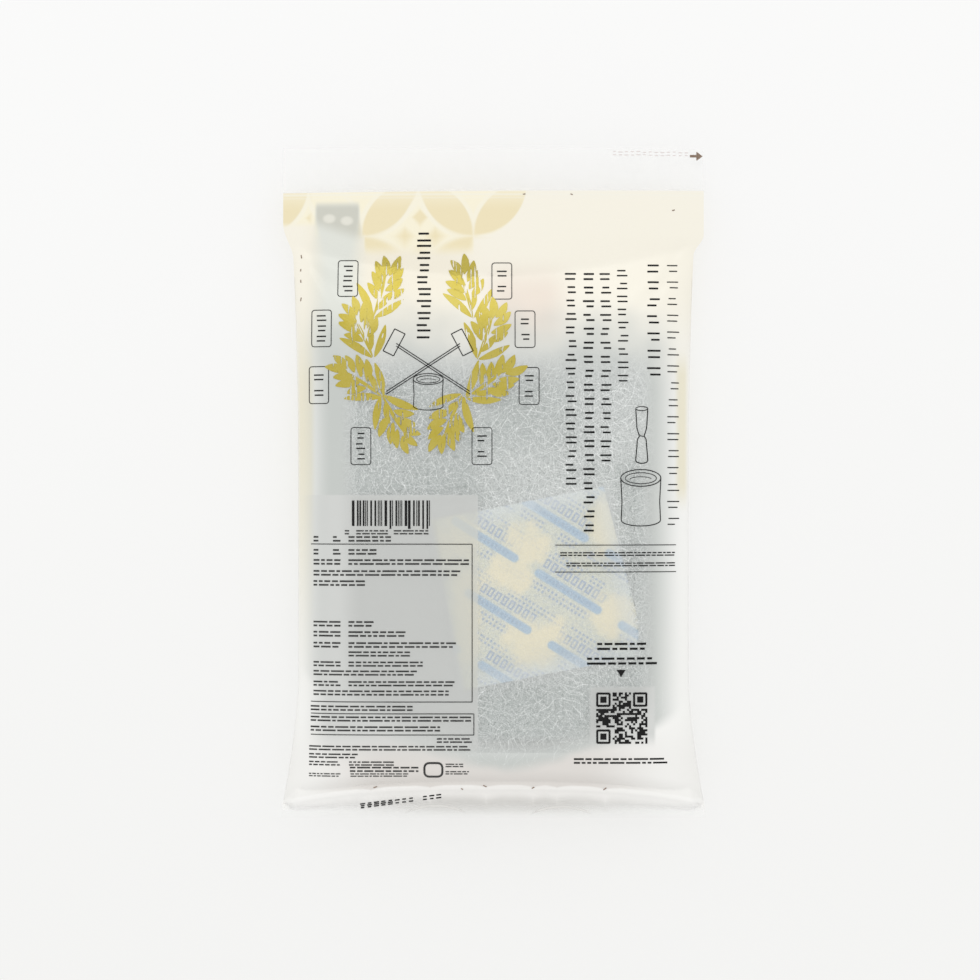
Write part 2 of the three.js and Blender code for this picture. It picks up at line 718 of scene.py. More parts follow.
    def _tucked(self, y: Array, side: Array) -> Array:
        """Stations from which the width is taken, as the left side turns in more slowly.

        Args:
            y: Stations along the bag.
            side: Places across it, from -1 to 1.

        Returns:
            The stations, moved up at the left below the header.
        """
        start, end = self.left_tuck
        slower = self.tuck_end + (y - start) * self.tuck_length / (end - start)
        slower = np.minimum(slower, y + self.tuck_end - start)
        return y + (slower - y) * smoothstep(-side, 0.0, 1.0) * (y > 0)

    def lobes(self, x: Array) -> Array:
        """Puffed lobes of the rolled bottom edge: 0 where two of them meet, up to 1."""
        away = np.min([np.abs(x - place) for place in self.puckers], axis=0)
        return np.sqrt(np.clip(away / self.lobe_rise, 0, 1))

    def fin(self, share: Array, side: Array, sheet: Sheet) -> Array:
        """Points of one sheet of the fin.

        Args:
            share: Places from the seam (0) to the free edge (1).
            side: Places across the bag, from -1 to 1.
            sheet: Which of the two films.

        Returns:
            The points, one row each.
        """
        place, seam = self.bottom_seam(side)
        reach = place - self.fin_edge
        rise = np.sqrt(self.fin_width**2 - reach**2)
        half = np.where(share < 1, self.half_gap(side), 0.0) * (1 if sheet is Sheet.BACK else -1)
        return np.stack(
            [
                side * self.half_width(np.full_like(side, self.seam_end)),
                place - reach * share + half * rise / self.fin_width,
                seam + rise * share + half * reach / self.fin_width,
            ],
            axis=1,
        )


# --- Finishes ---


@dataclass(frozen=True)
class InkFinish:
    """Ink printed on film, a little uneven."""

    name: str
    colour: Colour
    faded: Colour
    roughness: float = 0.42
    metal: float = 0.0
    dryness: float = 0.0
    gloss: float = 0.5
    stroke_turn: float = 38.0
    bristle: float = 0.9

    def material(self) -> bpy.types.Material:
        """Builds the ink's material.

        Returns:
            The material.
        """
        shader = Shader(self.name)
        cloud = shader.grain(9.0, 3.0, 0.4)
        speckle = shader.grain(0.5, 1.0, 0.9)
        share = (cloud * 1.2 + speckle * 0.8 + 0.35).at_least(0).at_most(1)
        return shader.finish(
            Base_Color=shader.mix(share, self.colour, self.faded),
            Alpha=self._cover(shader) if self.dryness else 1.0,
            Roughness=self.roughness + cloud * 0.1,
            Metallic=self.metal,
            Specular_IOR_Level=self.gloss,
            Normal=shader.bump(speckle, 0.02),
        )

    def _cover(self, shader: Shader) -> Value:
        """Cover of brushed ink.

        Args:
            shader: The ink's shader.

        Returns:
            1 on the ink and 0 in the gaps where the brush ran dry.
        """
        strokes = shader.node(
            "ShaderNodeMapping",
            inputs={
                "Vector": shader.coordinates(),
                "Rotation": (0, 0, math.radians(self.stroke_turn)),
                "Scale": (1.0, 0.11, 1.0),
            },
        )
        bristles = shader.node(
            "ShaderNodeTexNoise",
            {"noise_dimensions": "2D"},
            {"Vector": strokes.outputs[0], "Scale": 1 / (self.bristle * MM), "Detail": 1.0},
        )
        dry = shader.grain(11.0, 1.0, 0.77, flat=True) * 0.5 + self.dryness
        return (Value(shader, bristles.outputs[0]) - dry).rising(0.0, 0.06)


@dataclass(frozen=True)
class SoftField:
    """A rectangle with soft edges, each of which runs from where it is 0 to where it is 1."""

    left: Ramp
    right: Ramp
    bottom: Ramp
    top: Ramp

    @classmethod
    def even(cls, across: Place, along: Place, soft: Place) -> "SoftField":
        """A field whose opposite edges are equally soft.

        Args:
            across: Its limits across the bag.
            along: Its limits along the bag.
            soft: Widths of its soft edges across and along.

        Returns:
            The field.
        """
        wide, high = soft[0] / 2, soft[1] / 2
        return cls(
            (across[0] - wide, across[0] + wide),
            (across[1] + wide, across[1] - wide),
            (along[0] - high, along[0] + high),
            (along[1] + high, along[1] - high),
        )

    def across(self, x: Value) -> Value:
        """1 between its sides and 0 beyond them."""
        return x.rising(*self.left) * x.rising(*self.right)

    def mask(self, x: Value, y: Value, foot: Optional[Value] = None) -> Value:
        """1 in the field and 0 outside, its lower edge measured from foot if that is given."""
        lower = y if foot is None else foot
        return self.across(x) * y.rising(*self.top) * lower.rising(*self.bottom)


@dataclass(frozen=True)
class ShippoPattern:
    """Interlocking circles whose overlaps are petals, as printed on the front film."""

    node: Place = (-7.0, 85.5)
    radius: float = 18.6
    fold: Ramp = (-24.0, -30.0)
    fold_shift: float = 1.9
    outline: float = 1.3
    spots: tuple[Place, Place] = ((5.3, 0.0), (0.0, 6.6))
    spot_size: Place = (2.5, 2.6)

    def fields(self, x: Value, y: Value, soft: Number) -> tuple[Value, Value]:
        """Masks of the petals with their diamonds, and of the pale lines round the petals.

        Args:
            x: Place across the bag in millimetres.
            y: Place along the bag in millimetres.
            soft: Width of the petals' blurred edges in millimetres.

        Returns:
            The petals' mask and the lines' mask.
        """
        radius = self.radius
        across, along = x - self.node[0], y - self.node[1]
        spots = self._spots((across - radius).wrapped(radius), along.wrapped(radius), soft)
        across = across + x.rising(*self.fold) * self.fold_shift
        beside = self._distance((across - radius).wrapped(radius), along.wrapped(radius))
        above = self._distance(across.wrapped(radius), (along - radius).wrapped(radius))
        lens = beside.at_least(above) - radius
        petals = lens.rising(soft * 0.5, soft * -0.5)
        lines = abs(lens - self.outline * 0.5).rising(self.outline, self.outline * 0.3)
        return petals.at_least(spots), lines

    def _spots(self, across: Value, along: Value, soft: Number) -> Value:
        """The four diamonds round the middle of each circle.

        Args:
            across: Place across the circle, from its middle.
            along: Place along the circle, from its middle.
            soft: Width of their blurred edges in millimetres.

        Returns:
            1 in the diamonds and 0 outside.
        """
        drawn = []
        for right, up in self.spots:
            wide = abs(abs(across) - right) / self.spot_size[0]
            high = abs(abs(along) - up) / self.spot_size[1]
            drawn.append((wide + high).rising(1.2 + soft * 0.4, 0.9 - soft * 0.4))
        return reduce(Value.at_least, drawn)

    @staticmethod
    def _distance(across: Value, along: Value) -> Value:
        """Distance from the origin of two offsets."""
        return (across * across + along * along).root()


@dataclass(frozen=True)
class PacketPlace:
    """Where the drying packet lies: its middle, its half sizes and its turn in degrees."""

    centre: Place = (14.75, -36.85)
    half: Place = (31.45, 30.0)
    turn: float = 11.0

    def shares(self, x: Measure, y: Measure) -> tuple[Measure, Measure]:
        """Distances from its middle along its two sides, as shares of its half sizes."""
        across, along = turned(x, y, self.centre, self.turn)
        return abs(across / self.half[0]), abs(along / self.half[1])

    def reach(self, x: Value, y: Value) -> Value:
        """The larger of the two shares, which is 1 at the packet's edges."""
        across, along = self.shares(x, y)
        return across.at_least(along)


@dataclass(frozen=True)
class BarePatches:
    """Patches of the drying packet whose bare paper lies against the film."""

    spots: tuple[tuple[Place, Place], ...] = (
        ((11.0, -22.5), (8.0, 8.0)), ((5.5, -32.0), (10.0, 6.5)), ((14.5, -56.0), (12.5, 9.5)),
        ((42.0, -45.5), (10.0, 8.0)), ((38.5, -15.0), (7.5, 10.0)), ((-13.0, -20.0), (9.0, 9.0)),
        ((-9.5, -47.0), (5.0, 20.0)),
    )

    def mask(self, shader: Shader, x: Value, y: Value) -> Value:
        """Where the patches are, over soft and uneven edges.

        Args:
            shader: The shader of the film or of the packet.
            x: Place across the bag.
            y: Place along the bag.

        Returns:
            1 in the patches and 0 outside.
        """
        wander = shader.grain(8.0, 3.0, 0.3, flat=True) * 2.6
        drawn = [
            (ellipse(x, y, centre, radii) + wander).rising(1.5, 0.3) for centre, radii in self.spots
        ]
        return reduce(Value.at_least, drawn)


@dataclass(frozen=True)
class Fibres:
    """Fine white arcs of many sizes that cross each other in the milky film."""

    cells: tuple[float, ...] = (6.0, 7.4, 9.0, 11.0, 13.5, 17.0, 22.0)
    width: float = 0.23
    bend_size: float = 7.0
    bend: float = 4.0

    def drawn(self, shader: Shader) -> Value:
        """Lays one set of arcs for each size of cell over the others.

        Args:
            shader: The film's shader.

        Returns:
            Strength of the fibres, from 0 to about 1.
        """
        flat = shader.vector("MULTIPLY", shader.coordinates(), (1.0, 1.0, 0.0))
        bend = shader.noise(self.bend_size, 0.0, 0.5, flat=True).outputs["Color"]
        reach = self.bend * MM
        place = shader.vector("MULTIPLY_ADD", bend, (reach, reach, 0), flat)
        sets = [
            self._arcs(shader, place, number, size) for number, size in enumerate(self.cells, 1)
        ]
        return reduce(add, sets)

    def _arcs(self, shader: Shader, place: Socket, number: int, size: float) -> Value:
        """One set of arcs, each of which runs round a chance point beside its own cell.

        Args:
            shader: The film's shader.
            place: The bent place on the film, in metres.
            number: Number of the set, which shifts it.
            size: Width of its cells in millimetres.

        Returns:
            Strength of the arcs.
        """
        place = shader.vector("ADD", place, (0.31 * number, 0.47 * number, 0))
        cells = shader.node(
            "ShaderNodeTexVoronoi",
            {"voronoi_dimensions": "2D"},
            {"Vector": place, "Scale": 1 / (size * MM)},
        )
        chance = shader.vector("SUBTRACT", cells.outputs["Color"], (0.5, 0.5, 0))
        reach = size * MM * 1.5
        centre = shader.vector("MULTIPLY_ADD", chance, (reach, reach, 0), cells.outputs["Position"])
        radius = Value(shader, shader.vector("DISTANCE", place, centre)) * (1 / MM)
        parts = shader.node("ShaderNodeSeparateXYZ", inputs={0: cells.outputs["Color"]})
        strength = Value(shader, parts.outputs["Z"]) * 0.55 + 0.15
        offset = abs(radius.wrapped(0.75 + 0.1 * size))
        return offset.rising(self.width, self.width * 0.1) * strength


@dataclass(frozen=True)
class FrontPrint:
    """The print on the inside of the front film: petals on cream, a banner, and painted shade at
    the lower end.
    """

    cream: Colour = (0.925, 0.872, 0.69)
    pale_cream: Colour = (0.91, 0.873, 0.765)
    warm_cream: Colour = (0.875, 0.825, 0.70)
    gold: Colour = (0.80, 0.66, 0.30)
    banner_ink: Colour = (0.20, 0.25, 0.30)
    line: Colour = (0.90, 0.88, 0.79)
    petal: Colour = (0.845, 0.748, 0.502)
    blush: Colour = (0.82, 0.735, 0.645)
    margin: Colour = (0.93, 0.93, 0.905)
    strip: Colour = (0.845, 0.80, 0.64)
    # Painted shade over the bag's lower end, where the inside of the front film lies in shadow.
    end_shade: Colour = (0.73, 0.70, 0.665)
    banner: Colour = (0.61, 0.61, 0.54)
    banner_haze: Colour = (0.745, 0.76, 0.70)
    banner_x: Place = (-62.0, -47.0)
    banner_y: Place = (90.2, 96.6)
    banner_foot: float = 46.0
    banner_slope: float = 0.32
    blots: tuple[Place, ...] = ((-57.4, 91.8), (-51.2, 91.0))
    blot_size: Place = (2.2, 1.6)
    touch: Ramp = (76.0, 94.0)
    window: SoftField = SoftField.even((-52.0, 56.0), (-84.0, 46.0), (1.0, 1.0))
    pink: SoftField = SoftField.even((-2.0, 24.0), (50.0, 72.0), (14.0, 16.0))
    left_strip: SoftField = SoftField((-69.5, -67.1), (-61.3, -63.7), (-85.0, 20.0), (68.0, 30.0))
    right_strip: SoftField = SoftField.even((63.5, 67.4), (-6.0, 42.0), (2.4, 12.0))
    pattern_end: Ramp = (12.1, 11.7)
    pattern: ShippoPattern = ShippoPattern()

    def direct(self, shader: Shader, x: Value, y: Value, milk: Colour) -> tuple[Socket, Value]:
        """The print as it looks on the front film itself.

        Args:
            shader: The front film's shader.
            x: Place across the bag.
            y: Place along the bag.
            milk: Colour of the window in the print.

        Returns:
            The front film's colour, and the mask of the window.
        """
        petals, lines = self.pattern.fields(x, y, 0.25)
        window = self.window.mask(x, y)
        patterned = x.rising(*self.pattern_end) * (1 - window)
        colour = shader.mix(petals * patterned, self.cream, self.gold)
        colour = shader.mix(lines * patterned, colour, self.pale_cream)
        sign = x.within(*self.banner_x, 0.3) * y.within(self.banner_foot, self.banner_y[1], 0.3)
        colour = shader.mix(sign, colour, self.banner_ink)
        return shader.mix(window, colour, milk), window

    def blurred(self, shader: Shader, x: Value, y: Value) -> Socket:
        """The print as it shows through the back film, sharper where the two films touch, with
        painted shade over the lower end.

        Args:
            shader: The back film's shader.
            x: Place across the bag.
            y: Place along the bag.

        Returns:
            The colour of the back film where it hangs free of the tray.
        """
        touch = y.rising(*self.touch)
        colour = self._over_margin(shader, x, y, touch)
        strips = self.left_strip.mask(x, y).at_least(self.right_strip.mask(x, y))
        colour = shader.mix(strips, colour, self.strip)
        # Painted shade: the lower end of the bag is darkened, most in the middle, for the shadow
        # inside it.
        low = y.rising(-76.0, -98.0) * (0.22 + 0.78 * x.within(-52.0, 46.0, 34.0))
        colour = shader.mix(low, colour, self.end_shade)
        colour = self._with_banner(shader, x, y, touch, colour)
        weld = ((y * 4.6).sine() * 0.3 + 0.3) * y.within(98.8, 101.4, 0.8)
        return shader.mix(weld, colour, self.line)

    def _over_margin(self, shader: Shader, x: Value, y: Value, touch: Value) -> Socket:
        """Cream and petals over the pale margin of the bag.

        Args:
            shader: The back film's shader.
            x: Place across the bag.
            y: Place along the bag.
            touch: 1 where the two films touch and 0 where they are far apart.

        Returns:
            The colour.
        """
        petals, lines = self.pattern.fields(x, y, 0.6 + (1 - touch) * 4.0)
        right, level = self.pattern.node
        beside = (x - y - (right - level)) * x.rising(right, right + 1.0)
        petals = petals * beside.rising(8.6, 7.8) * (1 - x.within(-64.0, -49.5, 2.0))
        upper = y.rising(level - 1.5, level + 1.5)
        upper = upper * (1 - x.rising(-61.5, -63.0) * y.rising(91.0, 88.5))
        lower = x.within(-45.0, right, 1.0) * y.rising(78.0, 83.0)
        near = x.rising(*self.pattern_end) * upper.at_least(lower)
        near = near * (1 - beside.rising(1.0, 3.0) * (1 - petals))
        inked = near * (0.45 + 0.55 * y.rising(101.5, 94.0))
        warm = x.rising(right + 6, right - 12) * x.rising(-69.0, -58.0)
        colour = shader.mix(warm, self.pale_cream, self.warm_cream)
        colour = shader.mix(y.rising(20.0, 70.0), self.margin, colour)
        colour = shader.mix(near, colour, self.cream)
        colour = shader.mix(self.pink.mask(x, y), colour, self.blush)
        colour = shader.mix(petals * inked, colour, self.petal)
        return shader.mix(lines * inked * touch * 0.4, colour, self.line)

    def _with_banner(
        self, shader: Shader, x: Value, y: Value, touch: Value, colour: Socket
    ) -> Socket:
        """Adds the blurred banner with its two ovals.

        Args:
            shader: The back film's shader.
            x: Place across the bag.
            y: Place along the bag.
            touch: 1 where the two films touch and 0 where they are far apart.
            colour: Colour without the banner.

        Returns:
            The colour with the banner.
        """
        top = self.banner_y[1]
        sign = x.within(*self.banner_x, 1.6 + (1 - touch) * 8.0)
        colour = shader.mix(sign * y.within(40.0, top, 4.0), colour, self.banner_haze)
        foot = y + (x - self.banner_x[0]) * self.banner_slope - self.banner_y[0]
        dark = foot.rising(-3.0, 2.5) * y.rising(top + 1.6, top - 1.6)
        colour = shader.mix(sign * dark, colour, self.banner)
        for centre in self.blots:
            blot = ellipse(x, y, centre, self.blot_size).rising(1.6, 0.2)
            colour = shader.mix(blot * 0.55, colour, self.line)
        return colour


@dataclass(frozen=True)
class FilmEnds:
    """The clear header, the clear fin with painted shade in its middle, and the rolled edge where
    the fin starts, with a painted highlight.
    """

    form: BagForm
    seal: float = 101.3
    seal_slope: float = 0.006
    seam_drop: float = 0.7
    clear: Colour = (0.94, 0.94, 0.93)
    header_tint: Colour = (0.70, 0.70, 0.68)
    header_cover: float = 0.22
    rib_rows: Place = (103.0, 108.5)
    rib_rate: float = 4.2
    # Painted shade: grey for the middle of the fin, over the shadow in the gap beneath it.
    fin_painted_shade: Colour = (0.56, 0.55, 0.52)
    fin_middle: Place = (-44.0, 46.0)
    # The rolled edge's colours: a painted highlight on its crest over the milky band beyond it,
    # paler at the ends.
    lip: Colour = (0.92, 0.905, 0.875)
    lip_end_highlight: Colour = (0.96, 0.955, 0.93)
    lip_cover: float = 0.95
    # Two low arcs painted as highlights on creases of the fin.
    arcs: tuple[Size, ...] = ((-20.0, -112.4, 11.0), (23.4, -112.8, 11.2))

    def over(
        self, shader: Shader, x: Value, y: Value, colour: Socket, cover: Value
    ) -> tuple[Socket, Value]:
        """Lays both ends over the rest of the film.

        Args:
            shader: The film's shader.
            x: Place across the bag.
            y: Place along the bag.
            colour: The film's colour without its ends.
            cover: The film's cover without its ends.

        Returns:
            The colour and the cover with the ends.
        """
        header = (y - x * self.seal_slope).rising(self.seal - 0.2, self.seal + 0.2)
        beyond = self._seam(x) - y
        fin = beyond.rising(-0.2, 0.8)
        middle = x.within(*self.fin_middle, 62.0)
        ribs = (y * self.rib_rate).sine() * y.within(*self.rib_rows, 1.0) * 0.06
        header_colour = shader.mix(ribs + 0.06, self.clear, self.header_tint)
        # Painted shade: the fin is grey and more opaque in its middle.
        fin_colour = shader.mix(middle, self.clear, self.fin_painted_shade)
        colour = shader.mix(header, colour, header_colour)
        colour = shader.mix(fin, colour, fin_colour)
        faded = y.rising(self.form.fin_edge + 0.2, self.form.fin_edge + 4.0)
        cover = cover.towards(self.header_cover, header)
        cover = cover.towards((0.10 + middle * 0.20) * faded + 0.015, fin)
        # Painted highlight along the rolled edge, laid on in lobes.
        lip = self._lip(x, y, beyond)
        colour = shader.mix(lip, colour, shader.mix(middle, self.lip_end_highlight, self.lip))
        return colour, cover.towards(self.lip_cover, lip)

    def _seam(self, x: Value) -> Value:
        """Where the bottom seam runs.

        Args:
            x: Place across the bag.

        Returns:
            Place of the seam along the bag.
        """
        reach = abs(x) / (self.form.flat_width / 2)
        bow = self.form.seam_bow - self.seam_drop
        return self.form.seam_end + bow * (1 - reach**self.form.seam_bow_power)

    def _lobes(self, x: Value) -> Value:
        """The lobes of the rolled bottom edge, from 0 where two meet up to 1."""
        away = reduce(Value.at_most, [abs(x - place) for place in self.form.puckers])
        return (away / self.form.lobe_rise).at_most(1).root()

    def _lip(self, x: Value, y: Value, beyond: Value) -> Value:
        """The rolled edge: its crest in lobes as a painted highlight, the milky band beyond it, and
        two low arcs painted as highlights on creases of the fin.

        Args:
            x: Place across the bag.
            y: Place along the bag.
            beyond: Distance beyond the bottom seam.

        Returns:
            1 on the rolled edge and its painted highlights, and 0 on the clear film.
        """
        lobes = self._lobes(x)
        past = beyond + lobes * 0.9
        crest_highlight = past.within(-0.3, 0.6, 0.7) * (0.4 + lobes * 0.6)
        slope = past.rising(-0.6, 0.0) * past.rising(8.0, 2.2) * 0.92
        slope = slope * y.rising(self.form.fin_edge + 0.8, self.form.fin_edge + 5.0)
        lip = crest_highlight.at_least(slope)
        for centre, peak, half in self.arcs:
            across = (x - centre) / half
            arc = abs(y - peak + across * across * 2.4).rising(0.6, 0.1)
            lip = lip.at_least(arc * abs(across).rising(1.0, 0.6) * 0.5)
        return lip


@dataclass(frozen=True)
class FilmFinish:
    """Milky film with fine white fibres, clear beyond the seals, printed on its inside."""

    form: BagForm
    sheet: Sheet
    milk: Colour = (0.86, 0.88, 0.865)
    # Grey of the dark contents seen through the film, partly painted shade where they lie in
    # shadow.
    contents_and_shade: Colour = (0.56, 0.585, 0.56)
    panel: Colour = (0.635, 0.645, 0.625)
    panel_packet: Colour = (0.71, 0.715, 0.66)
    quiet: Colour = (0.66, 0.67, 0.65)
    contents: SoftField = SoftField((-69.2, -55.7), (67.1, 53.6), (-100.5, -95.0), (67.0, 33.0))
    contents_end: Ramp = (-80.0, -90.0)
    touching: SoftField = SoftField((-54.5, -45.5), (57.5, 48.5), (-98.0, -86.0), (48.0, 30.0))
    panel_field: SoftField = SoftField((-67.8, -55.8), (-5.1, -5.7), (-100.0, -84.0), (-4.4, -5.0))
    quiet_field: SoftField = SoftField(
        (32.65, 34.15), (56.65, 55.15), (-92.9, -86.9), (-70.4, -71.8)
    )
    pale_right: SoftField = SoftField.even((26.0, 62.0), (4.0, 50.0), (18.0, 18.0))
    pale_middle: SoftField = SoftField.even((-5.0, 30.0), (-5.0, 12.0), (12.0, 10.0))
    bow_centre: float = 2.0
    bow_half: float = 52.0
    bow: float = 16.0
    bow_slope: float = 0.06
    packet: PacketPlace = PacketPlace(half=(31.0, 30.0))
    patches: BarePatches = BarePatches()
    fibres: Fibres = Fibres()
    front: FrontPrint = FrontPrint()
    held_cover: float = 0.42
    free_cover: float = 1.0

    def material(self) -> bpy.types.Material:
        """Builds the film's material for its sheet.

        Returns:
            The material.
        """
        shader = Shader(f"film_{self.sheet.value}")
        x, y, _ = shader.place()
        cloud = shader.grain(16.0, 2.0, 0.2, flat=True)
        fibres = self.fibres.drawn(shader)
        if self.sheet is Sheet.BACK:
            colour, cover = self._back(shader, x, y, fibres, cloud)
        else:
            colour, window = self.front.direct(shader, x, y, self.milk)
            cover = 0.97 - window * 0.62 + window * fibres * 0.2
        colour, cover = FilmEnds(self.form).over(shader, x, y, colour, cover)
        crinkle = shader.grain(3.2, 2.0, 0.6, flat=True)
        return shader.finish(
            Base_Color=colour,
            Alpha=cover,
            Roughness=0.34 + cloud * 0.12,
            Specular_IOR_Level=0.3,
            Normal=shader.bump(crinkle, 0.06),
        )

    def _back(
        self, shader: Shader, x: Value, y: Value, fibres: Value, cloud: Value
    ) -> tuple[Socket, Value]:
        """The back film over the front's print, the contents and the packet.

        Args:
            shader: The back film's shader.
            x: Place across the bag.
            y: Place along the bag.
            fibres: Strength of the fibres.
            cloud: Wide unevenness of the film.

        Returns:
            The film's colour and its cover.
        """
        speckle = shader.grain(0.5, 1.0, 0.37, flat=True)
        bow = (x - self.bow_centre) / self.bow_half
        foot = y - bow * bow * self.bow + x * self.bow_slope
        colour = self.front.blurred(shader, x, y)
        grains = fibres * 0.3 + speckle * 0.3 - 0.06
        colour = self._with_contents(shader, x, y, foot, grains, colour)
        held = self.touching.mask(x, y, foot)
        panel, quiet = self.panel_field.mask(x, y), self.quiet_field.mask(x, y)
        reach = self.packet.reach(x, y)
        inside = reach.rising(1.04, 0.96)
        colour = shader.mix(held, colour, self.milk)
        colour = shader.mix(panel, colour, shader.mix(inside, self.panel, self.panel_packet))
        colour = shader.mix(quiet, colour, self.quiet)
        pits = shader.grain(1.3, 1.0, 0.13, flat=True).rising(0.02, 0.2)
        texture = fibres * 0.27 - pits * 0.12 + speckle * 0.45 - 0.055 + cloud * 0.12
        clear = self.patches.mask(shader, x, y) * 0.2 + 0.7
        texture = texture * (1 - clear * inside) + reach.within(0.84, 1.08, 0.3) * 0.14
        pale = self.pale_right.mask(x, y) * 0.17 + self.pale_middle.mask(x, y) * 0.12
        cover = self.free_cover + held * (self.held_cover - self.free_cover)
        cover = cover + held * (1 - panel) * (1 - quiet) * (texture + pale)
        cover = cover + (panel * (0.42 - inside * 0.07) + quiet * 0.3) * held
        return colour, cover.at_most(1).at_least(0)

    def _with_contents(
        self, shader: Shader, x: Value, y: Value, foot: Value, grains: Value, colour: Socket
    ) -> Socket:
        """Adds the grey of the dark contents seen through the film, partly painted shade, with a
        woven look towards their lower end.

        Args:
            shader: The back film's shader.
            x: Place across the bag.
            y: Place along the bag.
            foot: Place along the bag, bowed like the lower end of the contents.
            grains: Strength of the fibres and the speckle over the lower end.
            colour: Colour of the film without the contents.

        Returns:
            The colour with the contents.
        """
        wander = shader.grain(22.0, 2.0, 0.66, flat=True) * 22
        ragged = foot + wander * 0.3
        # The grey is partly painted shade of the contents, which lie in shadow under the film.
        colour = shader.mix(self.contents.mask(x, y + wander, ragged), colour, self.contents_and_shade)
        woven = grains.at_least(0) * foot.rising(*self.contents_end)
        woven = woven * self.contents.across(x) * ragged.rising(*self.contents.bottom)
        return shader.mix(woven, colour, self.milk)


@dataclass(frozen=True)
class PacketFinish:
    """Cream paper film with rows of slanting blue bars and fine blue marks."""

    place: PacketPlace
    bar_centre: Place = (25.8, -38.1)
    slant: float = -32.0
    pitch_along: float = 33.9
    pitch_across: float = 18.7
    bar_length: float = 26.8
    bar_width: float = 2.9
    tick_pitch: float = 1.5
    sign_pitch: float = 2.8
    rules: tuple[Place, ...] = ((-3.6, -2.7), (6.8, 7.6), (-5.3, -4.4), (8.4, 9.2))
    paper: Colour = (0.84, 0.745, 0.47)
    haze: Colour = (0.61, 0.63, 0.505)
    rim: Colour = (0.56, 0.62, 0.58)
    blue: Colour = (0.22, 0.41, 0.60)
    deep_blue: Colour = (0.09, 0.24, 0.42)
    pale_blue: Colour = (0.17, 0.27, 0.46)
    patches: BarePatches = BarePatches()

    def material(self) -> bpy.types.Material:
        """Builds the packet's material.

        Returns:
            The material.
        """
        shader = Shader("packet_paper")
        x, y, _ = shader.place()
        run, rise = turned(x, y, self.bar_centre, self.slant)
        row = (rise / self.pitch_across).rounded()
        rise = rise - row * self.pitch_across
        run = (run - row * (self.pitch_along / 2)).wrapped(self.pitch_along / 2)
        cloud = shader.grain(14.0, 2.0, 0.5)
        clear = self.patches.mask(shader, x, y)
        marks = self._marks(shader, run, rise) * (1 - clear * 0.85)
        bar = self._bar(run, rise)
        label = self._tick(run) * rise.within(-0.7, 0.7, 0.4) * (1 - abs(run).rising(9.0, 9.4))
        rim = self.place.reach(x, y).rising(0.74, 1.0) * (1 - clear * 0.6)
        colour = shader.mix(clear * 0.85 + cloud * 0.5 + 0.12, self.haze, self.paper)
        colour = shader.mix(rim, colour, self.rim)
        colour = shader.mix(marks, colour, self.pale_blue)
        colour = shader.mix(bar, colour, self.blue)
        colour = shader.mix(bar * label * 0.7, colour, self.deep_blue)
        return shader.finish(
            Base_Color=colour,
            Roughness=0.5 + cloud * 0.1,
            Normal=shader.bump(shader.grain(2.4, 1.0, 0.1), 0.25),
        )

    def _bar(self, run: Value, rise: Value) -> Value:
        """A bar with round ends.

        Args:
            run: Place along the bar, from its middle.
            rise: Place across the bar, from its middle.

        Returns:
            1 on the bar and 0 outside.
        """
        radius = self.bar_width / 2
        past = (abs(run) - (self.bar_length / 2 - radius)).at_least(0)
        return (past * past + rise * rise).root().rising(radius + 0.4, radius - 0.3)

    def _tick(self, run: Value) -> Value:
        """1 on small ticks in a row along the bar and 0 between them."""
        return abs(run.wrapped(self.tick_pitch / 2)).rising(0.55, 0.25)

    def _marks(self, shader: Shader, run: Value, rise: Value) -> Value:
        """Rows of plain boxes above each bar, thin broken rules, and smudges.

        Args:
            shader: The packet's shader.
            run: Place along the nearest bar.
            rise: Place across the nearest bar.

        Returns:
            1 on the marks and 0 outside.
        """
        sign = abs(run.wrapped(self.sign_pitch / 2))
        stroke = abs(sign - 0.7).rising(0.42, 0.18)
        cross = abs(abs(rise - 4.4) - 1.35).rising(0.42, 0.18) * sign.rising(0.95, 0.75)
        above = stroke.at_least(cross) * rise.within(2.75, 6.05, 0.2)
        above = above * abs(run).rising(12.8, 12.4)
        thin = reduce(Value.at_least, [rise.within(*rule, 0.3) for rule in self.rules])
        thin = thin * (shader.grain(6.0, 1.0, 0.8, flat=True) + 0.5).rising(0.38, 0.46)
        smudge = shader.grain(1.0, 2.0, 0.6, flat=True).rising(0.0, 0.12)
        return above.at_least(thin * self._tick(run)).at_least(smudge * 0.3)


@dataclass(frozen=True)
class TrayFinish:
    """Thin frosted plastic over dark contents, with a faint flow pattern."""

    pale: Colour = (0.50, 0.54, 0.52)
    dark: Colour = (0.36, 0.40, 0.38)

    def material(self) -> bpy.types.Material:
        """Builds the tray's material.

        Returns:
            The material.
        """
        shader = Shader("tray_plastic")
        cloud = shader.grain(24.0, 2.0, 0.8)
        fine = shader.grain(2.0, 2.0, 0.3)
        share = (cloud * 2.2 + fine * 0.3 + 0.5).at_least(0).at_most(1)
        return shader.finish(
            Base_Color=shader.mix(share, self.dark, self.pale),
            Roughness=0.36 + fine * 0.2,
            Alpha=0.86,
            Normal=shader.bump(fine, 0.05),
        )


@dataclass(frozen=True)
class RiceFinish:
    """Toasted rice with a soy glaze, patchy in tone and pocked."""

    light: Colour = (0.62, 0.36, 0.14)
    dark: Colour = (0.30, 0.12, 0.035)

    def material(self) -> bpy.types.Material:
        """Builds the cracker's material.

        Returns:
            The material.
        """
        shader = Shader("toasted_rice")
        toast = shader.grain(7.0, 3.0, 0.7)
        pore = shader.grain(0.9, 2.0, 0.2)
        share = (toast * 1.8 + pore * 0.7 + 0.5).at_least(0).at_most(1)
        return shader.finish(
            Base_Color=shader.mix(share, self.dark, self.light),
            Roughness=0.45 + pore * 0.3,
            Coat_Weight=(toast + 0.6).at_most(0.8),
            Normal=shader.bump(toast * 0.8 + pore * 0.5, 0.4),
        )


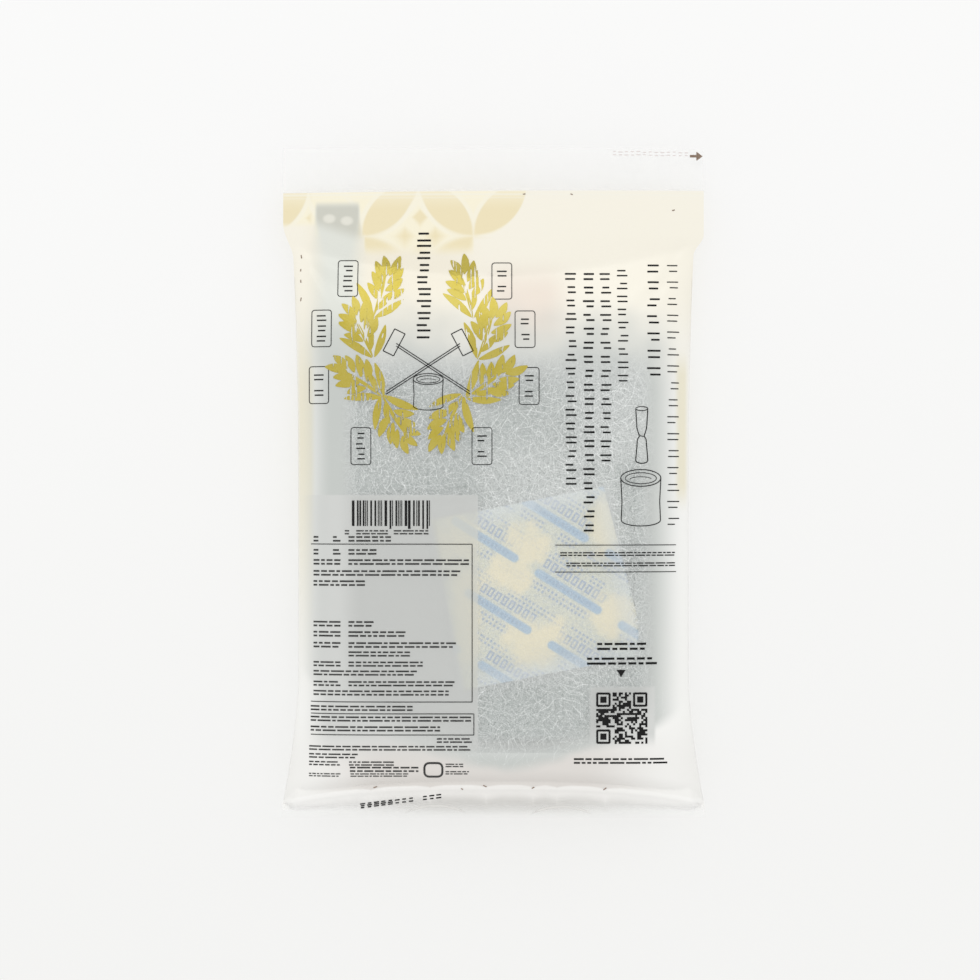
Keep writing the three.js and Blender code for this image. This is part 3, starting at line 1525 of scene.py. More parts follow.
@dataclass(frozen=True)
class SeaweedFinish:
    """Dried laver: dark green, finely crimped, with thinner greener patches."""

    dark: Colour = (0.012, 0.020, 0.012)
    thin: Colour = (0.045, 0.075, 0.030)

    def material(self) -> bpy.types.Material:
        """Builds the seaweed's material.

        Returns:
            The material.
        """
        shader = Shader("dried_seaweed")
        patch = shader.grain(5.0, 3.0, 0.15)
        crimp = shader.grain(0.7, 3.0, 0.85)
        share = (patch * 2.4 + crimp + 0.45).at_least(0).at_most(1)
        return shader.finish(
            Base_Color=shader.mix(share, self.dark, self.thin),
            Roughness=0.38 + crimp * 0.3,
            Normal=shader.bump(crimp + patch * 0.6, 0.3),
        )


# --- Pieces ---


def mount(piece: Thing, slot: Slot, *materials: bpy.types.Material) -> None:
    """Dresses a finished piece and lets it ride on the bag's body.

    Args:
        piece: The piece, with its place in its mesh.
        slot: The record's slot that the piece belongs to, which is only written to the log.
        *materials: Its materials, in the order of its faces' material numbers.
    """
    piece.data.materials.clear()
    for material in materials:
        piece.data.materials.append(material)
    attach(piece, BODY)
    log.info("%s: %d faces, slot %s", piece.name, len(piece.data.polygons), slot.value)


@dataclass(frozen=True)
class PacketBulge:
    """The low rise of the back film over the drying packet."""

    place: PacketPlace = PacketPlace((16.4, -36.5), (35.5, 34.2))
    lift: float = 2.0
    power: float = 6.0

    def height(self, points: Array) -> Array:
        """Height by which the packet lifts the film.

        Args:
            points: Places in millimetres, one row each.

        Returns:
            The height at each place.
        """
        first, second = self.place.shares(points[:, 0], points[:, 1])
        rise = np.clip(1 - first**self.power, 0, 1) * np.clip(1 - second**self.power, 0, 1)
        return self.lift * rise


@dataclass
class Film:
    """The bag itself: two sheets of film that meet at the edges."""

    form: BagForm
    bulge: PacketBulge = PacketBulge()
    columns: int = 120
    body_step: float = 1.15
    end_rows: int = 16
    fin_rows: int = 16
    edge_share: float = 0.06
    slack: Place = (0.35, 0.12)
    slack_size: Place = (26.0, 9.0)
    lip_height: float = 0.7
    lip_width: float = 1.8
    shelf_height: Place = (4.5, 8.0)
    shelf_reach: Ramp = (-12.0, -2.0)
    creases: int = 4
    crease_width: float = 1.6
    crease_height: Place = (0.15, 0.42)

    def build(self) -> Thing:
        """Models both sheets, joins them along their borders and dresses them.

        Returns:
            The bag.
        """
        film = sew([self._sheet(sheet) for sheet in Sheet], "film")
        materials = [FilmFinish(self.form, sheet).material() for sheet in Sheet]
        numbers = [face.material_index for face in film.data.polygons]
        mount(film, Slot.FILM, *materials)
        film.data.polygons.foreach_set("material_index", numbers)
        film.visible_shadow = False
        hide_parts(NODE)
        return film

    def _stations(self) -> tuple[Array, int]:
        """Rows of points along the bag.

        Returns:
            Stations of the body, then shares of the fin, and how many of them lie before it.
        """
        form = self.form
        body_end = form.seam_end + form.end_length
        count = round((form.header_edge - body_end) / self.body_step)
        body = np.linspace(form.header_edge, body_end, count, endpoint=False)
        shares = np.linspace(0, 1, self.end_rows + 1)
        end = form.seam_end + form.end_length * (1 - shares) ** 2
        fin = np.linspace(0, 1, self.fin_rows + 1)[1:]
        return np.concatenate([body, end, fin]), len(body) + len(end)

    def _sheet(self, sheet: Sheet) -> Thing:
        """One sheet of film, shaped from a flat grid.

        Args:
            sheet: Which of the two.

        Returns:
            The sheet, its faces numbered for its finish.
        """
        stations, before_fin = self._stations()
        thing = flat_grid(self.columns, len(stations) - 1, f"film_{sheet.value}")
        grid = points_of(thing) * MM
        rows = np.rint((1 - grid[:, 1]) / 2 * (len(stations) - 1)).astype(int)
        side = 0.5 * grid[:, 0] + 0.5 * np.sin(grid[:, 0] * math.pi / 2)
        value = stations[rows]
        on_fin = rows >= before_fin
        points = np.where(
            on_fin[:, None],
            self.form.fin(np.where(on_fin, value, 0.0), side, sheet),
            self.form.body(np.where(on_fin, self.form.seam_end, value), side, sheet),
        )
        if sheet is Sheet.BACK:
            points[:, 2] = np.maximum(points[:, 2], self._shelf(points, side))
            points[:, 2] += self._relief(points, value, side, on_fin)
        move_points(thing, points)
        number = list(Sheet).index(sheet)
        thing.data.polygons.foreach_set("material_index", [number] * len(thing.data.polygons))
        if sheet is Sheet.FRONT:
            with editing(thing, whole=True):
                bpy.ops.mesh.flip_normals()
        return thing

    def _inside(self, side: Array) -> Array:
        """Rises from 0 at the side edges to 1 a little way in."""
        return np.clip((1 - np.abs(side)) / self.edge_share, 0, 1)

    def _relief(self, points: Array, station: Array, side: Array, on_fin: Array) -> Array:
        """Relief of the back film: slack, creases, rolled edge and bulge over the packet.

        Args:
            points: Points of the film.
            station: Their stations along the bag.
            side: Their places across it, from -1 to 1.
            on_fin: Which of them lie on the fin.

        Returns:
            The height that each point gains.
        """
        edge = self._inside(side)
        fill = np.where(on_fin, 0.0, self.form.fill_along(station))
        fill = fill * self.form.fill_across(side)
        flat = points * np.array([1, 1, 0])
        wide = ripple(flat, self.slack_size[0], 3.1) * self.slack[0]
        fine = ripple(flat, self.slack_size[1], 7.7) * self.slack[1]
        lift = (wide + fine) * fill * edge + self.bulge.height(points) * fill
        return lift + self._creases(points) * edge * (1 - on_fin) + self._lip(points, side) * edge

    def _lip(self, points: Array, side: Array) -> Array:
        """The rolled edge in lobes where the body turns into the fin.

        Args:
            points: Points of the film.
            side: Their places across the bag, from -1 to 1.

        Returns:
            Its height at each point.
        """
        seam, _ = self.form.bottom_seam(side)
        away = points[:, 1] - seam
        lobes = self.form.lobes(points[:, 0])
        return (0.25 + 0.75 * lobes) * np.exp(-((away / self.lip_width) ** 2)) * self.lip_height

    def _shelf(self, points: Array, side: Array) -> Array:
        """The film where it bridges the groove between the body and the fin.

        Args:
            points: Points of the film.
            side: Their places across the bag, from -1 to 1.

        Returns:
            The least height of each point.
        """
        seam, level = self.form.bottom_seam(side)
        near = smoothstep(seam - points[:, 1], *self.shelf_reach)
        middle, end = self.shelf_height
        return level + (middle + (end - middle) * side**2) * near * self._inside(side)

    def _creases(self, points: Array) -> Array:
        """Narrow folds that fan out from the tucks at the header.

        Args:
            points: Points of the film.

        Returns:
            Their height at each point.
        """
        total = np.zeros(len(points))
        draw = random.Random(11)
        for sign in (-1, 1):
            for number in range(self.creases):
                start = np.array([sign * draw.uniform(66, 70), draw.uniform(76, 84)])
                end = np.array([sign * draw.uniform(38, 58), draw.uniform(44, 74)])
                height = draw.uniform(*self.crease_height) * (-1) ** number
                total += self._fold(points, start, end, height)
        return total

    def _fold(self, points: Array, start: Array, end: Array, height: float) -> Array:
        """A soft ridge along a line, fading towards its ends.

        Args:
            points: Points of the film.
            start: Where the line starts.
            end: Where it ends.
            height: Full height of the ridge.

        Returns:
            Its height at each point.
        """
        run = end - start
        length = np.linalg.norm(run)
        away = points[:, :2] - start
        share = (away @ run) / length**2
        distance = np.abs(away[:, 0] * run[1] - away[:, 1] * run[0]) / length
        along = np.clip(share * (1 - share) * 4, 0, 1)
        return height * along * np.exp(-((distance / self.crease_width) ** 2))


@dataclass
class DryingPacket:
    """A flat packet of drying beads with crimped edges, under the back film."""

    form: BagForm
    bulge: PacketBulge = PacketBulge()
    place: PacketPlace = PacketPlace()
    taper: float = 0.058
    clearance: float = 0.75
    depth: float = 2.2
    crimp: float = 5.0
    weld: float = 0.08
    bead: float = 3.0
    bead_height: float = 0.12
    cuts: int = 64

    def build(self) -> Thing:
        """Models the packet as two pillowed sheets and dresses it.

        Returns:
            The packet.
        """
        packet = sew([self._sheet(upper=True), self._sheet(upper=False)], "drying_packet")
        mount(packet, Slot.SACHET, PacketFinish(self.place).material())
        return packet

    def _sheet(self, upper: bool) -> Thing:
        """One half of the packet, shaped from a flat grid and turned into place.

        Args:
            upper: Whether it is the upper half.

        Returns:
            The sheet.
        """
        thing = flat_grid(self.cuts, self.cuts, "packet_sheet")
        grid = points_of(thing) * MM
        half = np.array(self.place.half)
        place = grid[:, :2] * half
        inner = (half - np.abs(place)) / self.crimp
        room = np.clip(inner - 1, 0, 3) / 3
        swell = np.sqrt(np.clip(1 - (1 - room) ** 2, 0, 1)).prod(axis=1)
        flat = np.column_stack([place, np.zeros(len(place))])
        beads = ripple(flat, self.bead, 5.0) * self.bead_height
        weld = np.clip(inner, 0, 1).min(axis=1)
        height = weld * self.weld + swell * (self.depth / 2 + beads)
        place[:, 0] *= 1 - self.taper * grid[:, 1]
        turn = math.radians(self.place.turn)
        turned_place = place @ np.array(
            [[math.cos(turn), math.sin(turn)], [-math.sin(turn), math.cos(turn)]]
        )
        turned_place += np.array(self.place.centre)
        middle = self._roof(turned_place) - self.clearance - self.depth / 2
        level = middle + height * (1 if upper else -0.5)
        move_points(thing, np.column_stack([turned_place, level]))
        return thing

    def _roof(self, place: Array) -> Array:
        """Height of the film over these places."""
        side = place[:, 0] / self.form.half_width(place[:, 1])
        return self.form.body(place[:, 1], side, Sheet.BACK)[:, 2] + self.bulge.height(place)


@dataclass
class Tray:
    """A thin formed tray, upside down in the bag, with a flange and a panelled base."""

    centre: Place = (0.8, -20.0)
    base_size: Place = (108.0, 140.0)
    rim_size: Place = (115.0, 147.0)
    top: float = 21.2
    rim: float = 3.4
    corner: float = 9.0
    base_rounding: float = 1.8
    flange: float = 2.2
    lip: float = 0.9
    wall: float = 0.45
    border: float = 2.5
    panel: float = 3.2
    panel_edge: float = 0.8
    panel_depth: float = 0.7
    margin: float = 0.8

    def build(self) -> Thing:
        """Models the tray from a box without a floor and dresses it.

        Returns:
            The tray.
        """
        height = self.top - self.rim
        tray = box("tray", (*self.base_size, height), (*self.centre, self.rim + height / 2))
        pick_faces(tray, lambda centre, normal: normal.z < -0.5)
        with editing(tray):
            wider = [rim / base for rim, base in zip(self.rim_size, self.base_size)]
            bpy.ops.transform.resize(value=(*wider, 1))
            bpy.ops.mesh.delete(type="ONLY_FACE")
        pick_edges(tray, lambda first, second: abs(first.z - second.z) > height * MM / 2)
        with editing(tray, "EDGE"):
            bpy.ops.mesh.bevel(offset=self.corner * MM, segments=6, affect="EDGES")
        pick_faces(tray, lambda centre, normal: normal.z > 0.9)
        with editing(tray):
            for width, depth in (
                (self.border, 0),
                (self.panel, 0),
                (self.panel_edge, -self.panel_depth),
            ):
                bpy.ops.mesh.inset(thickness=width * MM, depth=depth * MM)
        pick_edges(tray, self._on_base_edge)
        with editing(tray, "EDGE"):
            bpy.ops.mesh.bevel(offset=self.base_rounding * MM, segments=3, affect="EDGES")
        self._flange(tray)
        apply_modifier(tray, "SOLIDIFY", thickness=self.wall * MM, offset=-1.0)
        smooth_shading(tray, 40.0)
        mount(tray, Slot.TRAY, TrayFinish().material())
        return tray

    def _on_base_edge(self, first: Vector, second: Vector) -> bool:
        """Whether an edge runs round the outside of the base, whose corners are round.

        Args:
            first: One end of the edge, in metres.
            second: Its other end.

        Returns:
            True if both ends lie on the outline at the base's level.
        """
        if min(first.z, second.z) <= (self.top - 0.1) * MM:
            return False
        half = [size / 2 for size in self.base_size]
        for end in (first, second):
            across = abs(end.x / MM - self.centre[0])
            along = abs(end.y / MM - self.centre[1])
            past = Vector((across - (half[0] - self.corner), along - (half[1] - self.corner)))
            if min(past) > 0:
                inside = past.length < self.corner - self.margin
            else:
                inside = across < half[0] - self.margin and along < half[1] - self.margin
            if inside:
                return False
        return True

    def _flange(self, tray: Thing) -> None:
        """Turns the rim outward and rolls its edge down.

        Args:
            tray: The tray, whose rim is still the end of its walls.
        """
        level = self.rim * MM
        pick_edges(tray, lambda first, second: max(first.z, second.z) < level + 0.1 * MM)
        wider = [1 + 2 * self.flange / size for size in self.rim_size]
        centre = (self.centre[0] * MM, self.centre[1] * MM, level)
        with editing(tray, "EDGE"):
            bpy.ops.mesh.extrude_region_move()
            bpy.ops.transform.resize(value=(*wider, 1), center_override=centre)
            bpy.ops.mesh.extrude_region_move(
                TRANSFORM_OT_translate={"value": (0, 0, -self.lip * MM)}
            )


@dataclass
class Crackers:
    """Oblong rice crackers in rows, each wrapped in a band of seaweed."""

    centre: Place = (1.6, -21.0)
    size: Size = (33.0, 20.5, 12.5)
    rounding: float = 4.6
    pitch: Place = (35.2, 22.8)
    counts: tuple[int, int] = (3, 6)
    level: float = 10.6
    band: float = 25.0
    band_lift: float = 0.12
    band_thickness: float = 0.25
    lumps: Place = (1.1, 0.55)
    lump_size: Place = (9.0, 3.2)

    def build(self) -> tuple[Thing, Thing]:
        """Models one cracker and its band, repeats both and dresses them.

        Returns:
            The crackers and their bands.
        """
        rice = self._cracker()
        wrap = self._wrap(rice)
        draw = random.Random(5)
        rices, wraps = [], []
        for column in range(self.counts[0]):
            for row in range(self.counts[1]):
                place = (
                    self.centre[0] + (column - (self.counts[0] - 1) / 2) * self.pitch[0],
                    self.centre[1] + (row - (self.counts[1] - 1) / 2) * self.pitch[1],
                    self.level + draw.uniform(-0.4, 0.4),
                )
                turn = math.radians(draw.uniform(-2.0, 2.0) + 180 * draw.randint(0, 1))
                tilt = math.radians(draw.uniform(-2.0, 2.0))
                for source, group in ((rice, rices), (wrap, wraps)):
                    thing = copy_of(source)
                    thing.location = Vector(place) * MM
                    thing.rotation_euler = (tilt, 0, turn)
                    settle(thing)
                    group.append(thing)
        for source in (rice, wrap):
            bpy.data.objects.remove(source)
        crackers = join(rices, "crackers")
        bands = join(wraps, "seaweed_bands")
        mount(crackers, Slot.CRACKER, RiceFinish().material())
        mount(bands, Slot.CRACKER, SeaweedFinish().material())
        return crackers, bands

    def _cracker(self) -> Thing:
        """One oblong cracker at the origin, puffed and a little uneven.

        Returns:
            The cracker.
        """
        thing = box("cracker", self.size)
        with editing(thing, "EDGE", whole=True):
            bpy.ops.mesh.bevel(offset=self.rounding * MM, segments=3, affect="EDGES")
            bpy.ops.mesh.select_all(action="SELECT")
            bpy.ops.mesh.subdivide(number_cuts=2, smoothness=0.6)
        points = points_of(thing)
        wide = ripple(points, self.lump_size[0], 1.3) * self.lumps[0]
        fine = ripple(points, self.lump_size[1], 4.4) * self.lumps[1]
        away = points / np.linalg.norm(points, axis=1)[:, None]
        move_points(thing, points + away * (wide + fine)[:, None])
        smooth_shading(thing, 70.0)
        return thing

    def _wrap(self, cracker: Thing) -> Thing:
        """The seaweed band round the middle of a cracker.

        Args:
            cracker: The cracker that it follows.

        Returns:
            The band.
        """
        thing = rename(copy_of(cracker), "band")
        half = self.band / 2 * MM
        with editing(thing, "VERT"):
            for side in (1, -1):
                bpy.ops.mesh.select_all(action="SELECT")
                bpy.ops.mesh.bisect(
                    plane_co=(side * half, 0, 0), plane_no=(side, 0, 0), clear_outer=True
                )
        with editing(thing, whole=True):
            bpy.ops.transform.shrink_fatten(value=self.band_lift * MM)
        apply_modifier(thing, "SOLIDIFY", thickness=self.band_thickness * MM, offset=1.0)
        smooth_shading(thing, 70.0)
        return thing


# --- Print ---


@dataclass(frozen=True)
class Bar:
    """One straight mark: its middle, its length, its width and its turn in degrees."""

    x: float
    y: float
    length: float
    width: float
    turn: float = 0.0


@dataclass
class Marks:
    """A set of straight ink marks that becomes one thin piece on the film."""

    name: str
    finish: InkFinish
    corner: float = 0.0
    cuts: int = 1
    segment: float = 3.0
    overlap: float = 0.02
    lift: float = 0.09
    thickness: float = 0.05
    bars: list[Bar] = field(default_factory=list)

    def dash(self, x: float, y: float, length: float, width: float, turn: float = 0.0) -> None:
        """Adds one straight mark by its middle, its size and its turn in degrees."""
        self.bars.append(Bar(x, y, length, width, turn))

    def line(self, start: Place, end: Place, width: float) -> None:
        """Adds a straight line, in pieces short enough to follow the film.

        Args:
            start: Where it starts.
            end: Where it ends.
            width: Its width.
        """
        run = (end[0] - start[0], end[1] - start[1])
        length = math.hypot(*run)
        count = max(1, math.ceil(length / self.segment))
        turn = math.degrees(math.atan2(run[1], run[0]))
        for number in range(count):
            share = (number + 0.5) / count
            x, y = start[0] + run[0] * share, start[1] + run[1] * share
            self.dash(x, y, length / count + self.overlap, width, turn)

    def path(self, points: Sequence[Place], width: float) -> None:
        """Adds a line through several points."""
        for start, end in zip(points, points[1:]):
            self.line(start, end, width)

    def arc(
        self,
        centre: Place,
        radii: Place,
        width: float,
        angles: Place = (0.0, 360.0),
        steps: int = 24,
    ) -> None:
        """Adds part of an ellipse.

        Args:
            centre: Its middle.
            radii: Its half-width and half-height.
            width: Width of the line.
            angles: Where it starts and ends, in degrees.
            steps: Number of straight pieces.
        """
        turns = [
            math.radians(angles[0] + (angles[1] - angles[0]) * step / steps)
            for step in range(steps + 1)
        ]
        points = [
            (centre[0] + radii[0] * math.cos(turn), centre[1] + radii[1] * math.sin(turn))
            for turn in turns
        ]
        self.path(points, width)

    def frame(self, centre: Place, size: Place, radius: float, width: float) -> None:
        """Adds the outline of a rectangle with rounded corners.

        Args:
            centre: Its middle.
            size: Its width and height.
            radius: Radius of its corners.
            width: Width of the line.
        """
        points = []
        for quarter, (right, up) in enumerate(((1, 1), (-1, 1), (-1, -1), (1, -1))):
            x = centre[0] + right * (size[0] / 2 - radius)
            y = centre[1] + up * (size[1] / 2 - radius)
            for step in range(4):
                turn = math.radians(90 * quarter + 30 * step)
                points.append((x + radius * math.cos(turn), y + radius * math.sin(turn)))
        self.path([*points, points[0]], width)

    def build(self, film: Thing) -> Thing:
        """Models all the marks as one piece that lies on the film.

        A strip of as many cells as there are marks is cut apart, and each cell is moved
        to the place of its mark.

        Args:
            film: The film that they lie on.

        Returns:
            The piece.
        """
        thing = flat_grid(len(self.bars), 1, self.name)
        with editing(thing, "EDGE", whole=True):
            bpy.ops.mesh.edge_split(type="EDGE")
        points = points_of(thing)
        for face, bar in zip(thing.data.polygons, self.bars):
            cell = list(face.vertices)
            sides = np.sign(points[cell] - points[cell].mean(axis=0))
            across, along = (sides[:, :2] * (bar.length / 2, bar.width / 2)).T
            turn = math.radians(bar.turn)
            points[cell, 0] = bar.x + across * math.cos(turn) - along * math.sin(turn)
            points[cell, 1] = bar.y + across * math.sin(turn) + along * math.cos(turn)
            points[cell, 2] = ABOVE_BAG
        move_points(thing, points)
        if self.corner:
            with editing(thing, "VERT", whole=True):
                bpy.ops.mesh.bevel(
                    offset=self.corner * MM, segments=2, affect="VERTICES", clamp_overlap=True
                )
        apply_modifier(thing, "SUBSURF", subdivision_type="SIMPLE", levels=self.cuts)
        lay_on(thing, film, self.lift, self.thickness)
        mount(thing, Slot.PRINT, self.finish.material())
        return thing


def lay_on(thing: Thing, film: Thing, lift: float, thickness: float) -> None:
    """Drops a flat piece onto the film and gives it the thickness of ink.

    Args:
        thing: The flat piece, above the film.
        film: The film that it lies on.
        lift: Its height above the film in millimetres.
        thickness: Its own thickness in millimetres.
    """
    apply_modifier(
        thing,
        "SHRINKWRAP",
        target=film,
        wrap_method="PROJECT",
        use_project_z=True,
        use_negative_direction=True,
        use_positive_direction=False,
    )
    with editing(thing, "VERT", whole=True):
        bpy.ops.transform.translate(value=(0, 0, lift * MM))
    apply_modifier(thing, "SOLIDIFY", thickness=thickness * MM, offset=-1.0)


@dataclass
class BackPrint:
    """All that is printed on the back: ornaments, plain marks in rows, and codes."""

    film: Thing
    black: InkFinish = InkFinish("black_ink", (0.007, 0.007, 0.007), (0.02, 0.02, 0.02), gloss=0.1)
    grey: InkFinish = InkFinish("grey_ink", (0.025, 0.025, 0.024), (0.08, 0.08, 0.077), gloss=0.2)
    brown: InkFinish = InkFinish("brown_ink_and_shadow", (0.20, 0.13, 0.09), (0.36, 0.27, 0.20))
    faint: InkFinish = InkFinish("faint_ink", (0.70, 0.62, 0.60), (0.78, 0.73, 0.71))
    gold: InkFinish = InkFinish(
        "gold_ink", (0.48, 0.385, 0.039), (0.56, 0.48, 0.13), 0.40, 0.5, dryness=0.30
    )
    draw: random.Random = field(default_factory=lambda: random.Random(21))

    def build(self) -> list[Thing]:
        """Builds every printed piece.

        Returns:
            The pieces.
        """
        pieces = []
        for marks, drawing in (
            (Marks("rung_columns", self.black, corner=0.2, cuts=2), self._columns),
            (Marks("small_boxes", self.black), self._boxes),
            (Marks("panel_rows", self.grey), self._panel_rows),
            (Marks("thin_rules", self.grey), self._panel_frames),
            (Marks("stripes", self.black), self._bar_code),
            (Marks("cell_square", self.black), self._matrix_code),
            (Marks("caption_rows", self.black), self._captions),
            (Marks("line_drawings", self.black), self._line_art),
            (Marks("tear_arrow_and_shadow_specks", self.brown), self._header_mark),
            (Marks("tear_dashes", self.faint), self._tear_line),
            (Marks("date_dashes", self.black), self._date_mark),
        ):
            drawing(marks)
            pieces.append(marks.build(self.film))
        return [*pieces, *self._rice_sprigs()]

    def _rungs(self, marks: Marks, x: float, span: Place, count: int, size: Place) -> None:
        """Adds a vertical column of plain rungs in pairs.

        Args:
            marks: The set that takes them.
            x: Middle of the column.
            span: Its upper and its lower end.
            count: Number of pairs.
            size: Length and width of the longest rung.
        """
        pitch = (span[0] - span[1]) / count
        for number in range(count):
            y = span[0] - (number + 0.5) * pitch
            for part in (-1, 1):
                length = size[0] * self.draw.uniform(0.6, 1.0)
                shift = self.draw.uniform(-0.5, 0.5) * (size[0] - length)
                marks.dash(x + shift, y + part * size[0] * 0.23, length, size[1])

    def _row(self, marks: Marks, span: Place, y: float, size: float) -> None:
        """Adds two close rows of plain dashes.

        Args:
            marks: The set that takes them.
            span: Where the rows start and end across the bag.
            y: Place of their middle along the bag.
            size: Height of both rows together, near enough.
        """
        for part in (-1, 1):
            x = span[0]
            while x < span[1] - size * 0.3:
                length = min(size * self.draw.choice((0.5, 0.8, 0.8, 1.3, 1.9)), span[1] - x)
                marks.dash(x + length / 2, y + part * size * 0.25, length, size * 0.225)
                x += length + size * 0.24

    def _columns(self, marks: Marks) -> None:
        """Draws the tall columns of rungs at the right and the short one in the middle.

        Args:
            marks: The set that takes them.
        """
        for x, top, bottom, count, size in (
            (62.4, 77.3, -16.8, 16, (4.4, 0.38)), (55.5, 77.3, 35.1, 7, (4.8, 0.62)),
            (44.8, 74.9, 33.4, 9, (3.9, 0.50)), (38.9, 73.8, 5.7, 14, (4.0, 0.59)),
            (33.0, 73.8, -18.5, 19, (4.0, 0.66)), (26.8, 73.8, -2.3, 16, (4.0, 0.59)),
            (-24.1, 87.3, 48.9, 9, (5.2, 0.68)),
        ):
            self._rungs(marks, x, (top, bottom), count, size)

    def _boxes(self, marks: Marks) -> None:
        """Draws eight small rounded boxes round the gold ornament, with rungs in them.

        Args:
            marks: The set that takes them.
        """
        size, margin = (6.9, 12.8), 1.0
        for x, y, rungs in (
            (-50.7, 70.7, 3), (-59.7, 53.1, 3), (-60.6, 33.4, 2), (-45.9, 12.2, 3),
            (-4.0, 12.2, 2), (12.3, 33.0, 2), (10.9, 52.7, 2), (2.9, 69.7, 2),
        ):
            marks.frame((x, y), size, 0.9, 0.27)
            reach = size[1] / 2 - margin
            self._rungs(marks, x, (y + reach, y - reach), rungs, (3.4, 0.46))

    def _panel_rows(self, marks: Marks) -> None:
        """Draws rows of dashes on the grey panel.

        Args:
            marks: The set that takes them.
        """
        left, text = -62.5, -50.2
        rows = (
            (-17.6, ((-51.5, -50.0), (-47.5, -36.5), (-34.5, -22.5)), 2.0),
            (-19.9, ((left, -60.8), (-55.6, -53.0), (text, -35.5)), 2.6),
            (-24.4, ((left, -60.8), (-55.6, -53.0), (text, -40.5)), 2.6),
            (-27.9, ((left, -53.0), (text, -8.5)), 2.6),
            (-31.7, ((left, -11.5),), 2.6),
            (-35.2, ((left, -44.5),), 2.6),
            (-49.3, ((left, -53.0), (text, -41.5)), 2.6),
            (-52.8, ((left, -53.0), (text, -29.5)), 2.6),
            (-56.6, ((left, -53.0), (text, -13.0)), 2.6),
            (-59.7, ((text, -28.0),), 2.4),
            (-63.2, ((left, -53.0), (text, -24.5)), 2.4),
            (-66.3, ((left, -26.5),), 2.4),
            (-70.0, ((left, -53.0), (text, -13.5)), 2.4),
            (-73.2, ((left, -15.5),), 2.4),
            (-78.5, ((-63.5, -28.0),), 2.4),
            (-82.2, ((-63.5, -7.8),), 2.4),
            (-85.6, ((-63.5, -18.5),), 2.4),
            (-89.6, ((-19.6, -7.5),), 2.2),
            (-92.3, ((-64.0, -8.0),), 2.2),
            (-95.0, ((-64.0, -47.0),), 2.2),
            (-97.6, ((-64.0, -53.0), (-50.0, -34.5)), 2.0),
            (-99.6, ((-49.7, -26.0),), 2.4),
            (-101.6, ((-64.0, -53.0), (-49.5, -29.5)), 1.6),
            (-98.2, ((-16.6, -10.5),), 1.6),
            (-100.8, ((-16.6, -8.5),), 1.6),
        )
        for y, spans, size in rows:
            for span in spans:
                self._row(marks, span, y, size)

    def _panel_frames(self, marks: Marks) -> None:
        """Draws thin frames on the panel and the two rules at the right.

        Args:
            marks: The set that takes them.
        """
        left, right, width = -63.4, -7.4, 0.3
        marks.path([(left, -21.7), (right, -21.7), (right, -76.3), (left, -76.3)], width)
        marks.path([(left, -80.4), (-6.8, -80.4), (-6.8, -87.7), (left, -87.7)], width)
        for level in (-22.0, -31.3):
            marks.line((21.3, level), (63.4, level), width)
        marks.frame((-20.8, -99.8), (6.2, 4.8), 1.5, 0.7)

    def _bar_code(self, marks: Marks) -> None:
        """Draws plain upright stripes of chance widths.

        Args:
            marks: The set that takes them.
        """
        x, end, top, unit = -49.0, -22.0, -6.6, 0.29
        while x < end:
            width = unit * self.draw.choice((1, 1, 2, 2, 3))
            foot = -16.4 if self.draw.random() < 0.12 else -15.4
            marks.line((x + width / 2, top), (x + width / 2, foot), width)
            x += width + unit * self.draw.choice((1, 1, 2, 3))

    def _matrix_code(self, marks: Marks) -> None:
        """Draws a square of chance cells with three framed corners.

        Args:
            marks: The set that takes them.
        """
        left, top, cell, count, corner = 35.5, -73.0, 0.71, 25, 8
        for row in range(count):
            column = 0
            while column < count:
                run = min(self.draw.choice((1, 1, 1, 2)), count - column)
                low, high = row < corner, row >= count - corner
                inside = (low or high) and column < corner or low and column + run > count - corner
                if not inside and self.draw.random() < 0.55:
                    x, y = left + (column + run / 2) * cell, top - (row + 0.5) * cell
                    marks.dash(x, y, run * cell, cell)
                column += run
        for column, row in ((3.5, 3.5), (count - 3.5, 3.5), (3.5, count - 3.5)):
            x, y = left + column * cell, top - row * cell
            marks.frame((x, y), (6 * cell, 6 * cell), 0.05, cell)
            marks.dash(x, y, 3 * cell, 3 * cell)

    def _captions(self, marks: Marks) -> None:
        """Draws short rows of dashes and a small triangle at the lower right.

        Args:
            marks: The set that takes them.
        """
        for y, span, size in (
            (-25.1, (23.0, 63.0), 1.8), (-28.7, (25.1, 63.0), 1.8), (-57.0, (35.8, 52.8), 3.4),
            (-62.1, (32.3, 56.6), 3.4), (-96.7, (27.8, 60.4), 2.6),
        ):
            self._row(marks, span, y, size)
        for step in range(6):
            marks.dash(44.1, -65.4 - 0.4 * step, 2.9 - 0.5 * step, 0.42)

    def _line_art(self, marks: Marks) -> None:
        """Draws a pestle over a mortar, and a tub with two crossed mallets.

        Args:
            marks: The set that takes them.
        """
        self._pestle(marks, (51.3, 25.2), 19.0)
        self._mortar(marks, (51.0, 1.2), (7.0, 2.9), 14.6, 0.32)
        self._mortar(marks, (-22.6, 35.4), (5.2, 1.9), 9.4, 0.28)
        for side in (-1, 1):
            self._mallet(marks, (-22.6, 38.2), side)

    @staticmethod
    def _pestle(marks: Marks, top: Place, length: float) -> None:
        """Draws a waisted wooden pestle in outline.

        Args:
            marks: The set that takes it.
            top: Middle of its upper end.
            length: Its length.
        """
        x, y = top
        half, width = 2.1, 0.34
        foot = y - length * 0.94
        marks.arc(top, (half, 0.7), 0.28, steps=14)
        for side in (-1, 1):
            outline = [
                (x + side * reach, y - length * share)
                for reach, share in ((half, 0), (1.7, 0.35), (1.2, 0.44), (0.8, 0.5), (1.5, 0.56))
            ]
            marks.path([*outline, (x + side * half, foot)], width)
        marks.arc((x, foot), (half, 1.1), width, (180, 360), 8)
        marks.line((x - 0.9, y - length * 0.49), (x + 0.9, y - length * 0.51), 0.3)

